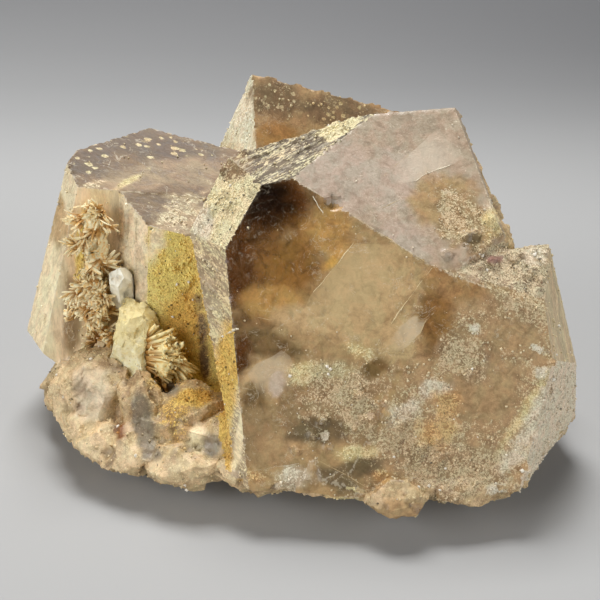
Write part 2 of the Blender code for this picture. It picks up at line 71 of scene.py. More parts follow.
# The view: its places are given in a square of VIEW_SIDE units.
VIEW_SIDE = 600.0
VIEW_SCALE = 4.4                 # units that a millimetre takes up at the crystals
LENS = 75.0                      # mm, as SENSOR
SENSOR = 36.0
AIM = Vector((0.0, 0.0, 35.0))   # in the crystals' layout, mm
EYE_DISTANCE = 285.0             # mm
EYE_RISE = 27.0                  # degrees above the horizon

# The fine surface.
SHARP = math.radians(13)         # turn between two facets that makes a crisp edge
BROKEN = math.radians(42)        # turn between two small faces of a broken surface that does so
RIM_LENGTH = 3.0                 # length from which an edge of the body counts as a ridge with the pale line of wear and painted highlight, mm
RIM_REACH = 2.0                  # distance from such an edge up to which it is kept, mm
FLUSH = 0.5                      # how far from a crystal face its small faces may lie, mm
ALIGNED = 0.985                  # cosine of the turn that they may have against it
FOOT_TOP = 12.0                  # height above which small lumps belong to the face they stand on, mm
STANDS_OUT = 2.2                 # how far from its face such a lump may reach, mm
CRUST_THICKNESS = 0.26 * MM      # relief of the crust, m
WAVE_HEIGHT = 0.03 * MM          # faint waves on the crystal faces, m
UNDERSIDE = 0.2 * MM             # height up to which the flat underside keeps its shape, m

# Marks, veils and fracture edges.
MARK_REACH = 2.2                 # how far from its middle a mark may fray, as a share of its half size
VEIL_REACH = 3.0                 # how far outside an inner veil its distance is still kept, mm
EDGE_STEP = 3.0                  # view units between two points of a fracture's edge
EDGE_SINK = 0.06 * MM            # how far its sides reach under the surface, m
EDGE_RISE = 0.3                  # height of its ridge, as a share of its width
EDGE_LEAST = 0.1                 # share of its width below which it stops for a while

# Corners of the crystals in their layout, mm.
RIDGE_END = (28.3, -14.0, 50.0)
WINDOW_TOP = (-1.7, -2.6, 65.8)
WINDOW_CORNER = (-8.2, -2.9, 64.3)
WINDOW_SIDE = (-16.2, -9.0, 51.9)
WINDOW_FOOT = (-11.5, -32.0, 11.5)
MAIN_APEX = (33.4, 19.8, 75.5)
MAIN_CREST = (17.0, 14.3, 74.9)
BAND_TOP = (-15.9, 9.2, 66.1)
BAND_MIDDLE = (-24.5, 1.3, 51.8)
BLADE_FOOT = (-14.0, -29.2, 10.6)
SHOULDER_CORNER = (52.2, -17.1, 42.3)
SHOULDER_BACK = (55.1, -2.0, 49.9)
SHOULDER_SIDE = (53.9, -22.3, 32.0)
SHOULDER_FOOT = (46.2, -36.0, 5.6)
SHOULDER_OUTER = (62.5, -8.0, 6.8)
LEFT_APEX = (-35.9, 31.0, 65.4)
LEFT_SHOULDER = (-54.5, 21.0, 60.2)
LEFT_STEP = (-42.9, 14.4, 56.1)
LEFT_BROW = (-34.4, 6.0, 51.0)
LEFT_FOOT = (-67.5, 18.0, 17.5)
BACK_APEX = (-11.3, 33.0, 78.5)
BACK_DIVIDE = (-10.4, 25.0, 64.0)
BACK_LEFT = (-19.8, 35.0, 58.3)
BACK_RIGHT = (21.3, 37.0, 68.6)


def placed(point):
    """A layout point in the frame, in mm."""
    return Vector(point) + Vector(SHIFT)


def facing(bearing, tilt):
    """The direction that looks to a bearing (0 front, 90 right) and up by a tilt, in degrees."""
    turn, rise = math.radians(bearing), math.radians(tilt)
    level = math.cos(rise)
    return Vector((math.sin(turn) * level, -math.cos(turn) * level, math.sin(rise)))


def leaning(bearing, tilt, corner):
    """A face that looks to a bearing and passes through a corner."""
    return corner, facing(bearing, tilt)


def along(first, second, bearing):
    """A face that holds the edge between two corners and looks to a bearing."""
    run = Vector(second) - Vector(first)
    return leaning(bearing, math.degrees(math.atan(-facing(bearing, 0).dot(run) / run.z)), first)


def through(first, second, third, bearing):
    """A face that holds three corners, on the side that looks to a bearing."""
    normal = (Vector(second) - Vector(first)).cross(Vector(third) - Vector(first)).normalized()
    return first, normal if normal.dot(facing(bearing, 30)) > 0 else -normal


# Faces of the crystals: a corner of each and the direction that it looks to.
FACES = {
    "window": through(RIDGE_END, WINDOW_TOP, WINDOW_FOOT, 0),
    "lilac": through(RIDGE_END, WINDOW_TOP, MAIN_APEX, 10),
    "band_high": through(WINDOW_TOP, MAIN_CREST, BAND_TOP, -30),
    "band_mid": through(WINDOW_CORNER, WINDOW_SIDE, BAND_TOP, -40),
    "band_low": through(WINDOW_SIDE, WINDOW_FOOT, BAND_MIDDLE, -50),
    "blade": along(BAND_MIDDLE, BLADE_FOOT, -95),
    "shoulder_front": through(RIDGE_END, SHOULDER_CORNER, SHOULDER_FOOT, 0),
    "shoulder_top": through(RIDGE_END, SHOULDER_CORNER, SHOULDER_BACK, 30),
    "shoulder_right": through(SHOULDER_CORNER, SHOULDER_BACK, SHOULDER_SIDE, 70),
    "shoulder_strip": through(SHOULDER_SIDE, SHOULDER_FOOT, SHOULDER_OUTER, 55),
    "shoulder_low": along(SHOULDER_OUTER, SHOULDER_FOOT, 60),
    "left_top": through(LEFT_APEX, LEFT_SHOULDER, LEFT_BROW, 3),
    "left_front": leaning(-3, 8, LEFT_STEP),
    "left_prism": along(LEFT_SHOULDER, LEFT_FOOT, -54),
    "left_back": along(LEFT_SHOULDER, LEFT_FOOT, -112),
    "left_inner": leaning(-45, 8, LEFT_BROW),
    "left_clay": leaning(-12, 9, LEFT_BROW),
    "back_right": through(BACK_APEX, BACK_DIVIDE, BACK_RIGHT, 17),
    "back_left": through(BACK_APEX, BACK_DIVIDE, BACK_LEFT, -54),
    "back_outer": along(BACK_APEX, BACK_LEFT, -125),
    "back_rear": along(BACK_APEX, BACK_RIGHT, 180),
    "main_rear": leaning(-160, 38, MAIN_APEX),
}

# Groups of faces that a mark can lie on. A name that isn't a face's stands for the broken foot.
AREAS = {
    "front": ("window", "shoulder_front"),
    "lilac": ("lilac",),
    "top": ("shoulder_top",),
    "bands": ("band_high", "band_mid", "band_low", "blade"),
    "left_top": ("left_top",),
    "left": ("left_front", "left_prism", "left_inner"),
    "clay": ("left_clay", "left_inner"),
    "back": ("back_right", "back_left"),
    "foot": ("broken",),
}


# ---------------------------------------------------------------- the view

EYE = (placed(AIM) + facing(0, EYE_RISE) * EYE_DISTANCE) * MM
FORWARD = -facing(0, EYE_RISE)
RIGHT = Vector((1.0, 0.0, 0.0))
UP = RIGHT.cross(FORWARD)
FOCAL = LENS / SENSOR * VIEW_SIDE


def sight(x, y):
    """Direction from the eye through a place of the view."""
    half = VIEW_SIDE / 2
    return (FORWARD * FOCAL + RIGHT * (x - half) + UP * (half - y)).normalized()


def in_view(points):
    """Places in the view, and depths, of points in metres."""
    away = points - np.array(EYE)
    depth = away @ np.array(FORWARD)
    half = VIEW_SIDE / 2
    x = half + FOCAL * (away @ np.array(RIGHT)) / depth
    y = half - FOCAL * (away @ np.array(UP)) / depth
    return x, y, depth


# ---------------------------------------------------------------- numbers

def lattice(cells, seed):
    """A repeatable number from 0 to 1 for each whole-numbered cell."""
    mixed = cells[..., 0] * 73856093 ^ cells[..., 1] * 19349663 ^ cells[..., 2] * 83492791
    mixed = (mixed ^ (seed * 2654435761)) & 0xFFFFFFFF
    mixed = ((mixed ^ (mixed >> 15)) * 0x45D9F3B) & 0xFFFFFFFF
    mixed = ((mixed ^ (mixed >> 14)) * 0x45D9F3B) & 0xFFFFFFFF
    return ((mixed ^ (mixed >> 16)) & 0xFFFF) / 0xFFFF


def noise(points, size, seed=0, octaves=1):
    """Smooth noise from -1 to 1 whose largest features have a size, for points in mm."""
    total = np.zeros(len(points))
    full = 0.0
    for octave in range(octaves):
        spot = points / (size / 2 ** octave) + seed * 17.13
        cell = np.floor(spot).astype(np.int64)
        part = spot - cell
        part = part * part * (3 - 2 * part)
        value = np.zeros(len(points))
        for corner in np.ndindex(2, 2, 2):
            share = np.prod(np.where(corner, part, 1 - part), axis=1)
            value += share * lattice(cell + np.array(corner), seed + octave)
        weight = 0.5 ** octave
        total += weight * (2 * value - 1)
        full += weight
    return total / full


def fractured(points, size, seed):
    """Relief of flat chips that lie at many heights and slopes, from -1 to 1, for points in mm."""
    spot = points / size
    cell = np.floor(spot).astype(np.int64)
    nearest = np.full(len(points), 9.0)
    height = np.zeros(len(points))
    for step in np.ndindex(3, 3, 3):
        near = cell + np.array(step) - 1
        seat = near + np.stack([lattice(near, seed + side) for side in range(3)], axis=1)
        lean = np.stack([lattice(near, seed + 3 + side) for side in range(3)], axis=1) * 2 - 1
        away = spot - seat
        gap = np.sum(away ** 2, axis=1)
        here = gap < nearest
        nearest = np.where(here, gap, nearest)
        level = np.sum(away * lean, axis=1) * 0.9 + lattice(near, seed + 6) - 0.5
        height = np.where(here, level, height)
    return np.clip(height, -1, 1)


def outline_gap(x, y, places):
    """Distance from points of the view to a closed outline, above 0 inside it."""
    gap = np.full(len(x), np.inf)
    inside = np.zeros(len(x), bool)
    for (start_x, start_y), (end_x, end_y) in zip(places, places[1:] + places[:1]):
        run_x, run_y = end_x - start_x, end_y - start_y
        part = np.clip(((x - start_x) * run_x + (y - start_y) * run_y) / (run_x ** 2 + run_y ** 2), 0, 1)
        gap = np.minimum(gap, np.hypot(x - start_x - part * run_x, y - start_y - part * run_y))
        if run_y:
            spans = (start_y > y) != (end_y > y)
            inside ^= spans & (x < start_x + run_x * (y - start_y) / run_y)
    return np.where(inside, gap, -gap)


def ramp(value, low, high):
    """0 below low, 1 above high, smooth between."""
    part = np.clip((value - low) / (high - low), 0, 1)
    return part * part * (3 - 2 * part)


def linear(colour):
    """Linear values of a display colour given from 0 to 255, lifted towards white."""
    part = np.array(colour, float) / 255
    part = np.where(part <= 0.04045, part / 12.92, ((part + 0.055) / 1.055) ** 2.4)
    return 1 - (1 - part) ** LIFT


def rgba(colour):
    """The same as a colour with full opacity."""
    return (*(float(part) for part in linear(colour)), 1.0)


# ---------------------------------------------------------------- shader maths

class Sock:
    """A socket of a material's tree that can be used in an expression."""

    def __init__(self, tree, link):
        self.tree = tree
        self.link = link

    def _math(self, operation, first, second):
        return self.tree.node("ShaderNodeMath", {"operation": operation}, {0: first, 1: second})

    def __add__(self, other):
        return self._math("ADD", self, other)

    __radd__ = __add__

    def __sub__(self, other):
        return self._math("SUBTRACT", self, other)

    def __rsub__(self, other):
        return self._math("SUBTRACT", other, self)

    def __mul__(self, other):
        return self._math("MULTIPLY", self, other)

    __rmul__ = __mul__

    def __abs__(self):
        return self.tree.node("ShaderNodeMath", {"operation": "ABSOLUTE"}, {0: self})

    def either(self, other):
        """The larger of two values."""
        return self._math("MAXIMUM", self, other)

    def ramp(self, low, high):
        """0 below low, 1 above high, smooth between."""
        sockets = {"Value": self, "From Min": low, "From Max": high}
        return self.tree.node("ShaderNodeMapRange", {"interpolation_type": "SMOOTHSTEP"}, sockets)


class Tree:
    """The node tree of one material."""

    def __init__(self, name):
        self.material = bpy.data.materials.new(name)
        self.material.use_nodes = True
        self.nodes = self.material.node_tree.nodes
        self.nodes.clear()

    def node(self, kind, settings=None, sockets=None, output=0):
        """A node with its settings and its sockets' values or links, and one of its outputs."""
        made = self.nodes.new(kind)
        for name, value in (settings or {}).items():
            setattr(made, name, value)
        for key, value in (sockets or {}).items():
            if isinstance(value, Sock):
                self.material.node_tree.links.new(value.link, made.inputs[key])
            else:
                made.inputs[key].default_value = value
        return Sock(self, made.outputs[output]) if made.outputs else None

    def mix(self, factor, first, second, blend="MIX"):
        """A colour between two others."""
        settings = {"data_type": "RGBA", "blend_type": blend}
        return self.node("ShaderNodeMix", settings, {0: factor, 6: first, 7: second}, 2)

    def times(self, colour, red, green, blue):
        """A colour with each channel multiplied by a number."""
        return self.mix(1.0, colour, (red, green, blue, 1.0), "MULTIPLY")

    def tinted(self, colour, share):
        """A colour that drifts between a rosy and a green-grey cast."""
        return self.mix(share, self.times(colour, 1.045, 0.985, 0.95), self.times(colour, 0.965, 1.0, 0.97))

    def field(self, name, output):
        """What the mesh keeps under a name: its colour, its vector or its value."""
        return self.node("ShaderNodeAttribute", {"attribute_name": name}, output=output)

    def colour(self, name):
        return self.field(name, 0)

    def vector(self, name):
        return self.field(name, 1)

    def value(self, name):
        return self.field(name, 2)

    def noise(self, vector, scale, detail=2.0, rough=0.5, distort=0.0):
        sockets = {"Vector": vector, "Scale": scale, "Detail": detail, "Roughness": rough}
        return self.node("ShaderNodeTexNoise", {}, {**sockets, "Distortion": distort})

    def cells(self, vector, scale):
        """Distance from the nearest of many scattered points."""
        return self.node("ShaderNodeTexVoronoi", {}, {"Vector": vector, "Scale": scale})

    def bump(self, height, strength, distance):
        sockets = {"Height": height, "Strength": strength, "Distance": distance}
        return self.node("ShaderNodeBump", {}, sockets)

    def surface(self, **values):
        """A Principled shader. Keys are socket names with _ for a space."""
        sockets = {name.replace("_", " "): value for name, value in values.items()}
        return self.node("ShaderNodeBsdfPrincipled", {}, sockets)

    def blend(self, factor, first, second):
        return self.node("ShaderNodeMixShader", {}, {0: factor, 1: first, 2: second})

    def finish(self, surface, **more):
        """The material, with its surface and perhaps its Volume linked."""
        self.node("ShaderNodeOutputMaterial", {}, {"Surface": surface, **more})
        return self.material


# ---------------------------------------------------------------- meshes

def new_piece(name, mesh, material):
    """A piece of the dressed cluster in the scene."""
    piece = bpy.data.objects.new(name, mesh)
    bpy.context.scene.collection.objects.link(piece)
    mesh.materials.append(material)
    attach(piece, "root")
    return piece


def numbers(items, name, kind=np.int32, wide=1):
    """One property of many items as an array."""
    found = np.empty(len(items) * wide, kind)
    items.foreach_get(name, found)
    return found if wide == 1 else found.reshape(-1, wide)


def points_of(mesh):
    return numbers(mesh.vertices, "co", np.float32, 3).astype(float)


def normals_of(mesh):
    return numbers(mesh.vertex_normals, "vector", np.float32, 3).astype(float)


def set_points(mesh, points):
    mesh.vertices.foreach_set("co", points.astype(np.float32).ravel())
    mesh.update()


def keep_in_box(points):
    """Points moved to lie no further out than the CAD model's box."""
    return np.clip(points, np.array(CAD_BOX[0]), np.array(CAD_BOX[1]))


def store(mesh, name, values, domain="POINT"):
    """Keeps one number or one vector for each vertex, or for each corner of the faces."""
    kind = "FLOAT" if values.ndim == 1 else "FLOAT_VECTOR"
    field = mesh.attributes.new(name, kind, domain)
    field.data.foreach_set("value" if kind == "FLOAT" else "vector", values.astype(np.float32).ravel())


def stored(mesh, name):
    """What store has kept under a name."""
    field = mesh.attributes[name]
    if field.data_type == "FLOAT":
        return numbers(field.data, "value", np.float32)
    return numbers(field.data, "vector", np.float32, 3)


def surface_of(mesh):
    """A search tree over the faces of a mesh."""
    return BVHTree.FromPolygons(points_of(mesh).tolist(), [face.vertices for face in mesh.polygons])


def nearest_of(points, keys):
    """A search tree that finds the nearest of some points, and its key."""
    tree = KDTree(len(points))
    for point, key in zip(points, keys):
        tree.insert(point, key)
    tree.balance()
    return tree


def welded(node):
    """A copy of a CAD node's mesh whose faces share their corners."""
    bm = bmesh.new()
    bm.from_mesh(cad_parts[node].data)
    bmesh.ops.remove_doubles(bm, verts=bm.verts, dist=1e-6)
    mesh = bpy.data.meshes.new(node + "_welded")
    bm.to_mesh(mesh)
    bm.free()
    return mesh


def edge_points(mesh, spacing, shortest=0.0):
    """A search tree of points along the sharp edges of a mesh that are longer than a length."""
    bm = bmesh.new()
    bm.from_mesh(mesh)
    found = []
    for edge in bm.edges:
        if edge.is_manifold and edge.calc_face_angle(0) > SHARP and edge.calc_length() > shortest:
            start, end = (corner.co for corner in edge.verts)
            steps = max(1, int((end - start).length / spacing))
            found += [start.lerp(end, step / steps) for step in range(steps + 1)]
    bm.free()
    return nearest_of(found, range(len(found)))


class FineCopy:
    """An even, dense mesh on the surface of a CAD node, with its sharp edges kept."""

    def __init__(self, node, voxel):
        source = welded(node)
        holder = bpy.data.objects.new(node + "_fine", source)
        bpy.context.scene.collection.objects.link(holder)
        step = holder.modifiers.new("even", "REMESH")
        step.mode = "VOXEL"
        step.voxel_size = voxel
        evaluated = holder.evaluated_get(bpy.context.evaluated_depsgraph_get())
        self.mesh = bpy.data.meshes.new_from_object(evaluated)
        bpy.data.objects.remove(holder)
        self.surface = surface_of(source)
        self.snap(edge_points(source, voxel / 5), voxel)
        self.measure(edge_points(source, voxel, RIM_LENGTH * MM))
        bpy.data.meshes.remove(source)
        self.find_facets()

    def snap(self, edges, voxel):
        """Moves each point onto the surface, or onto a sharp edge that is near it."""
        points = points_of(self.mesh)
        for number, point in enumerate(points):
            flat = self.surface.find_nearest(point)[0]
            sharp, _, gap = edges.find(flat)
            points[number] = sharp if gap < voxel * 0.5 else flat
        set_points(self.mesh, points)

    def measure(self, ridges):
        """Finds how far each point is from the nearest long edge, in mm."""
        gaps = [ridges.find(point)[2] / MM for point in points_of(self.mesh)]
        self.rim = np.minimum(gaps, RIM_REACH)

    def find_facets(self):
        """Finds the facet of the node below each face, and the edges where it turns."""
        mesh = self.mesh
        centres = numbers(mesh.polygons, "center", np.float32, 3)
        self.facets = np.array([self.surface.find_nearest(centre)[1] for centre in centres])
        corners = numbers(mesh.polygons, "loop_total")
        face = np.repeat(np.arange(len(centres)), corners)
        edge = numbers(mesh.loops, "edge_index")
        order = np.argsort(edge, kind="stable")
        pairs = np.nonzero(edge[order][1:] == edge[order][:-1])[0]
        one, two = face[order[pairs]], face[order[pairs + 1]]
        turned = np.sum(self.facets[one] * self.facets[two], axis=1) < math.cos(SHARP)
        self.ridges = edge[order[pairs[turned]]]

    def shade(self):
        """Smooth shading with crisp ridges and chips, once the relief is on."""
        mesh = self.mesh
        mesh.shade_smooth()
        mesh.set_sharp_from_angle(angle=BROKEN)
        sharp = numbers(mesh.edges, "use_edge_sharp", bool)
        sharp[self.ridges] = True
        mesh.edges.foreach_set("use_edge_sharp", sharp)


def seen_at(surface, x, y):
    """The point of a surface at a place of the view and its normal, or None twice."""
    return surface.ray_cast(EYE, sight(x, y))[:2]


def joined(name, verts, faces, fields=()):
    """A mesh from arrays of corners and faces, with per-corner fields."""
    mesh = bpy.data.meshes.new(name)
    mesh.vertices.add(len(verts))
    mesh.vertices.foreach_set("co", verts.astype(np.float32).ravel())
    wide = faces.shape[1]
    mesh.loops.add(faces.size)
    mesh.loops.foreach_set("vertex_index", faces.astype(np.int32).ravel())
    mesh.polygons.add(len(faces))
    mesh.polygons.foreach_set("loop_start", np.arange(0, faces.size, wide, dtype=np.int32))
    mesh.update(calc_edges=True)
    mesh.validate()
    for field, values in fields:
        store(mesh, field, values)
    return mesh


# ---------------------------------------------------------------- painting

class Coat:
    """What each corner of the body's small faces looks like: it starts plain and takes marks."""

    NUMBERS = ("milk", "crust", "grit", "gloss", "rough", "dots", "veil_share")
    TONES = ("tone", "crust_tone", "veil_tone")

    def __init__(self, fine):
        mesh = fine.mesh
        points = points_of(mesh)
        self.mesh = mesh
        self.points = points
        self.normals = normals_of(mesh)
        self.vertex = numbers(mesh.loops, "vertex_index")
        self.face = np.repeat(np.arange(len(mesh.polygons)), numbers(mesh.polygons, "loop_total"))
        self.mm = points[self.vertex] / MM
        x, y, depth = in_view(points)
        self.x, self.y, self.depth = x[self.vertex], y[self.vertex], depth[self.vertex]
        self.surface = surface_of(mesh)
        count = len(self.mm)
        self.values = {name: np.zeros(count) for name in self.NUMBERS}
        self.values.update({name: np.zeros((count, 3)) for name in self.TONES})
        self.values["veil"] = np.full(count, -VEIL_REACH)
        self.values["flow"] = self.mm.copy()
        self.wobble = noise(points / MM, 6.0, 3, 3)[self.vertex]
        self.fray = noise(points / MM, 1.8, 5, 2)[self.vertex]
        self.name_faces(fine.facets)

    def name_faces(self, facets):
        """Gives each corner the number of its crystal face, or -1 on the broken foot."""
        centres = numbers(self.mesh.polygons, "center", np.float32, 3) / MM
        fits = []
        for point, look in FACES.values():
            off = np.abs((centres - np.array(placed(point))) @ np.array(look))
            turn = facets @ np.array(look)
            fits.append(np.where((off < FLUSH) & (turn > ALIGNED), turn, 0))
        fits = np.array(fits)
        found = np.where(fits.max(axis=0) > 0, fits.argmax(axis=0), -1)
        self.name_lumps(centres, found)
        self.named = found[self.face]

    def name_lumps(self, centres, found):
        """Lumps that stand on a crystal face take its number."""
        flush = np.nonzero(found >= 0)[0]
        tree = nearest_of(centres[flush], flush)
        for number in np.nonzero((found < 0) & (centres[:, 2] > FOOT_TOP))[0]:
            _, near, gap = tree.find(centres[number])
            if gap < STANDS_OUT:
                found[number] = found[near]

    def on(self, names):
        """Which corners lie on any of some faces. A name that no face has stands for the foot."""
        order = list(FACES)
        return np.isin(self.named, [order.index(name) if name in order else -1 for name in names])

    def paint(self, where, weight, changes):
        """Draws some values towards others, as far as each corner's weight says."""
        for name, value in changes.items():
            field = self.values[name]
            if name in self.TONES:
                field[where] += weight[:, None] * (linear(value) - field[where])
            else:
                field[where] += weight * (value - field[where])

    def cover(self, name, changes):
        """Paints a whole face."""
        where = np.nonzero(self.on((name,)))[0]
        self.paint(where, np.ones(len(where)), changes)

    def dab(self, area, x, y, wide, high, turn=0.0, soft=0.6, ragged=0.4, deep=14.0, **changes):
        """Paints an oval round a place of the view, on the faces of an area."""
        spot = seen_at(self.surface, x, y)[0]
        reach = MARK_REACH * max(wide, high)
        where = (np.abs(self.x - x) < reach) & (np.abs(self.y - y) < reach) & self.on(AREAS[area])
        where = np.nonzero(where)[0]
        if not len(where):
            return
        across, along = self.x[where] - x, y - self.y[where]
        depth = (spot - EYE).dot(FORWARD) if spot is not None else self.depth[where].min()
        spin = math.radians(turn)
        first = (across * math.cos(spin) + along * math.sin(spin)) / wide
        second = (along * math.cos(spin) - across * math.sin(spin)) / high
        third = (self.depth[where] - depth) / (deep * MM)
        third = third if area == "foot" else third * 0.3
        stray = (self.wobble[where] + self.fray[where] * 0.6) * ragged
        away = np.sqrt(first ** 2 + second ** 2 + third ** 2) + stray
        self.paint(where, 1 - ramp(away, 1 - soft / 2, 1 + soft / 2), changes)

    def veil(self, area, places, anchor, reach, share, tone):
        """Lays an inner veil: sharp at its outline, fading away from its brightest place."""
        where = np.nonzero(self.on(AREAS[area]))[0]
        gap = outline_gap(self.x[where], self.y[where], places) / VIEW_SCALE + self.fray[where] * 0.12
        gap = np.clip(gap, -VEIL_REACH, VEIL_REACH)
        more = gap > self.values["veil"][where]
        where, gap = where[more], gap[more]
        self.values["veil"][where] = gap
        away = np.hypot(self.x[where] - anchor[0], self.y[where] - anchor[1]) / reach
        self.values["veil_share"][where] = share * (1 - ramp(away, 0.2, 1.0))
        self.values["veil_tone"][where] = linear(tone)

    def at_vertices(self, name):
        """One of the numbers, averaged for each vertex."""
        total = np.bincount(self.vertex, self.values[name], len(self.points))
        return total / np.maximum(np.bincount(self.vertex, minlength=len(self.points)), 1)

    def keep(self):
        """Stores everything on the mesh."""
        for name, values in self.values.items():
            store(self.mesh, name, values, "CORNER")


# The coat of the broken foot and of each face: tone of the quartz, milkiness, crust, tone of the
# crust, dark specks, gloss.
COAT_FIELDS = ("tone", "milk", "crust", "crust_tone", "grit", "gloss")
FOOT_COAT = ((188, 162, 122), 0.9, 0.36, (210, 188, 144), 0.15, 0.3)
FACE_COATS = {
    "window": ((160, 133, 92), 0.85, 0.14, (212, 194, 158), 0.05, 0.6),
    "shoulder_front": ((160, 132, 94), 0.86, 0.34, (208, 190, 152), 0.06, 0.4),
    "lilac": ((162, 145, 125), 0.88, 0.08, (208, 196, 174), 0.05, 0.6),
    "band_high": ((90, 76, 54), 0.95, 0.36, (224, 208, 168), 0.12, 0.0),
    "band_mid": ((98, 82, 58), 0.95, 0.66, (236, 220, 176), 0.2, 0.0),
    "band_low": ((160, 142, 114), 0.95, 0.42, (226, 208, 162), 0.06, 0.2),
    "blade": ((198, 154, 78), 1.0, 0.7, (226, 184, 104), 0.2, 0.0),
    "shoulder_top": ((138, 118, 92), 0.95, 0.56, (208, 192, 160), 0.2, 0.2),
    "shoulder_right": ((194, 172, 134), 0.9, 0.3, (222, 204, 164), 0.04, 0.4),
    "shoulder_strip": ((214, 195, 166), 0.95, 0.56, (238, 223, 198), 0.02, 0.2),
    "shoulder_low": ((180, 158, 122), 0.9, 0.4, (212, 194, 156), 0.05, 0.3),
    "left_top": ((102, 79, 46), 0.9, 0.1, (206, 188, 150), 0.05, 0.2),
    "left_front": ((232, 208, 168), 0.9, 0.1, (226, 206, 166), 0.04, 0.6),
    "left_prism": ((228, 208, 170), 0.95, 0.24, (240, 222, 184), 0.03, 0.3),
    "left_back": ((150, 128, 96), 0.8, 0.3, (208, 190, 148), 0.1, 0.5),
    "left_inner": ((222, 194, 138), 1.0, 0.6, (242, 218, 164), 0.1, 0.1),
    "left_clay": ((242, 202, 110), 1.0, 0.7, (254, 224, 134), 0.08, 0.0),
    "back_right": ((168, 138, 98), 0.9, 0.18, (204, 182, 138), 0.1, 0.3),
    "back_left": ((246, 232, 196), 1.0, 0.6, (252, 242, 212), 0.02, 0.1),
    "back_outer": ((150, 128, 94), 0.8, 0.35, (208, 190, 148), 0.12, 0.4),
    "back_rear": ((132, 108, 76), 0.72, 0.24, (204, 186, 146), 0.1, 0.6),
    "main_rear": ((150, 128, 96), 0.72, 0.2, (206, 190, 152), 0.1, 0.6),
}

# Looks that marks give the stone. What a look leaves out stays as it is below the mark.
LOOKS = {
    "black smoke": dict(tone=(38, 22, 8), milk=0.42, crust=0.0, gloss=1.0, soft=1.1),
    "dark smoke": dict(tone=(60, 36, 13), milk=0.5, crust=0.0, gloss=1.0, soft=1.1),
    "brown smoke": dict(tone=(90, 56, 22), milk=0.6, crust=0.02, gloss=0.9, soft=1.0),
    "brown glass": dict(tone=(114, 80, 40), milk=0.68, crust=0.03, gloss=0.8, soft=0.9),
    "golden glass": dict(tone=(132, 94, 42), milk=0.74, crust=0.04, soft=0.9),
    "orange glass": dict(tone=(172, 132, 74), milk=0.8, crust=0.03, soft=0.9),
    "glow": dict(tone=(208, 156, 76), crust=0.0, soft=1.0),
    "olive smoke": dict(tone=(112, 88, 52), milk=0.76, crust=0.05, gloss=0.7, ragged=0.6),
    "olive grit": dict(
        tone=(104, 88, 60), milk=0.9, crust=0.22, crust_tone=(176, 162, 128), ragged=0.9, soft=0.9,
    ),
    "tan stain": dict(tone=(166, 126, 74), milk=0.95, crust=0.16),
    "tan milk": dict(tone=(180, 153, 110), milk=0.88, crust=0.08),
    "dull milk": dict(tone=(140, 114, 78), milk=0.88, crust=0.14),
    "smooth milk": dict(tone=(162, 134, 94), milk=0.84, crust=0.1),
    "brown milk": dict(tone=(156, 120, 74), milk=0.8, crust=0.08),
    "pale milk": dict(tone=(206, 188, 156), milk=0.94, crust=0.06, soft=0.5),
    "bright milk": dict(tone=(234, 212, 176), milk=0.96, crust=0.06, soft=0.5),
    "taupe milk": dict(tone=(158, 141, 122), milk=0.9, crust=0.05),
    "rosy milk": dict(tone=(186, 166, 148), milk=0.92, crust=0.03, soft=0.3, ragged=0.2),
    "mauve milk": dict(tone=(168, 152, 136), milk=0.92, crust=0.03),
    "taupe ledge": dict(tone=(140, 117, 86), milk=0.92, crust=0.12, soft=0.8),
    "plum": dict(tone=(128, 96, 84), crust=0.16, soft=0.6, ragged=0.7),
    "brown dots": dict(tone=(124, 102, 72), dots=0.85, crust=0.2),
    "pale dots": dict(tone=(84, 64, 38), dots=0.85, crust=0.1, crust_tone=(224, 206, 166)),
    "dark dots": dict(tone=(118, 96, 66), dots=0.8, crust=0.26, crust_tone=(206, 190, 152)),
    "fawn crust": dict(tone=(146, 122, 88), crust=0.48, crust_tone=(206, 186, 150), ragged=0.8),
    "warm crust": dict(tone=(166, 128, 80), crust=0.46, crust_tone=(214, 180, 126), ragged=0.9, soft=0.9),
    "cream crust": dict(crust=0.92, crust_tone=(236, 220, 176), grit=0.2),
    "yellow crust": dict(
        tone=(194, 170, 118), crust=0.56, crust_tone=(226, 208, 156), ragged=0.9, soft=1.0,
    ),
    "green crust": dict(tone=(164, 146, 108), crust=0.42, crust_tone=(204, 190, 150), ragged=0.9, soft=1.0),
    "silver crust": dict(
        tone=(180, 164, 138), milk=0.95, crust=0.52, crust_tone=(228, 216, 190), ragged=0.8,
    ),
    "streaked crust": dict(
        tone=(158, 136, 102), milk=0.95, crust=0.46, crust_tone=(226, 210, 176), ragged=0.9,
    ),
    "white crust": dict(crust=0.9, crust_tone=(228, 220, 198), soft=0.6, ragged=0.9),
    "gold clay": dict(tone=(240, 194, 98), milk=1.0, crust=0.74, crust_tone=(254, 218, 122), grit=0.08),
    "ochre clay": dict(tone=(200, 154, 72), milk=1.0, crust=0.74, crust_tone=(226, 184, 98), grit=0.22),
    "dark clay": dict(tone=(196, 150, 66), milk=1.0, crust=0.76, crust_tone=(228, 182, 92), grit=0.3),
    "cream clay": dict(tone=(232, 214, 172), milk=1.0, crust=0.16, crust_tone=(242, 228, 190), grit=0.02),
    "pink clay": dict(tone=(212, 185, 142), milk=1.0, crust=0.3, crust_tone=(234, 211, 166)),
    "rust": dict(tone=(112, 70, 30), milk=1.0, crust=0.2, crust_tone=(168, 118, 62), ragged=0.9),
    "ochre flecks": dict(tone=(154, 124, 74), crust=0.46, crust_tone=(228, 188, 104), ragged=0.8, soft=0.9),
    # dark crust together with the painted shade of a crevice
    "dark crust and crevice shade": dict(tone=(104, 88, 62), crust=0.36, crust_tone=(170, 148, 104), ragged=0.9),
    "grey stone": dict(tone=(138, 128, 108), milk=0.88, crust=0.06, gloss=0.7, rough=0.5),
    "grey striped": dict(
        tone=(124, 112, 90), milk=0.94, crust=0.24, crust_tone=(172, 158, 130),
        rough=0.4, soft=0.3, ragged=0.25,
    ),
}

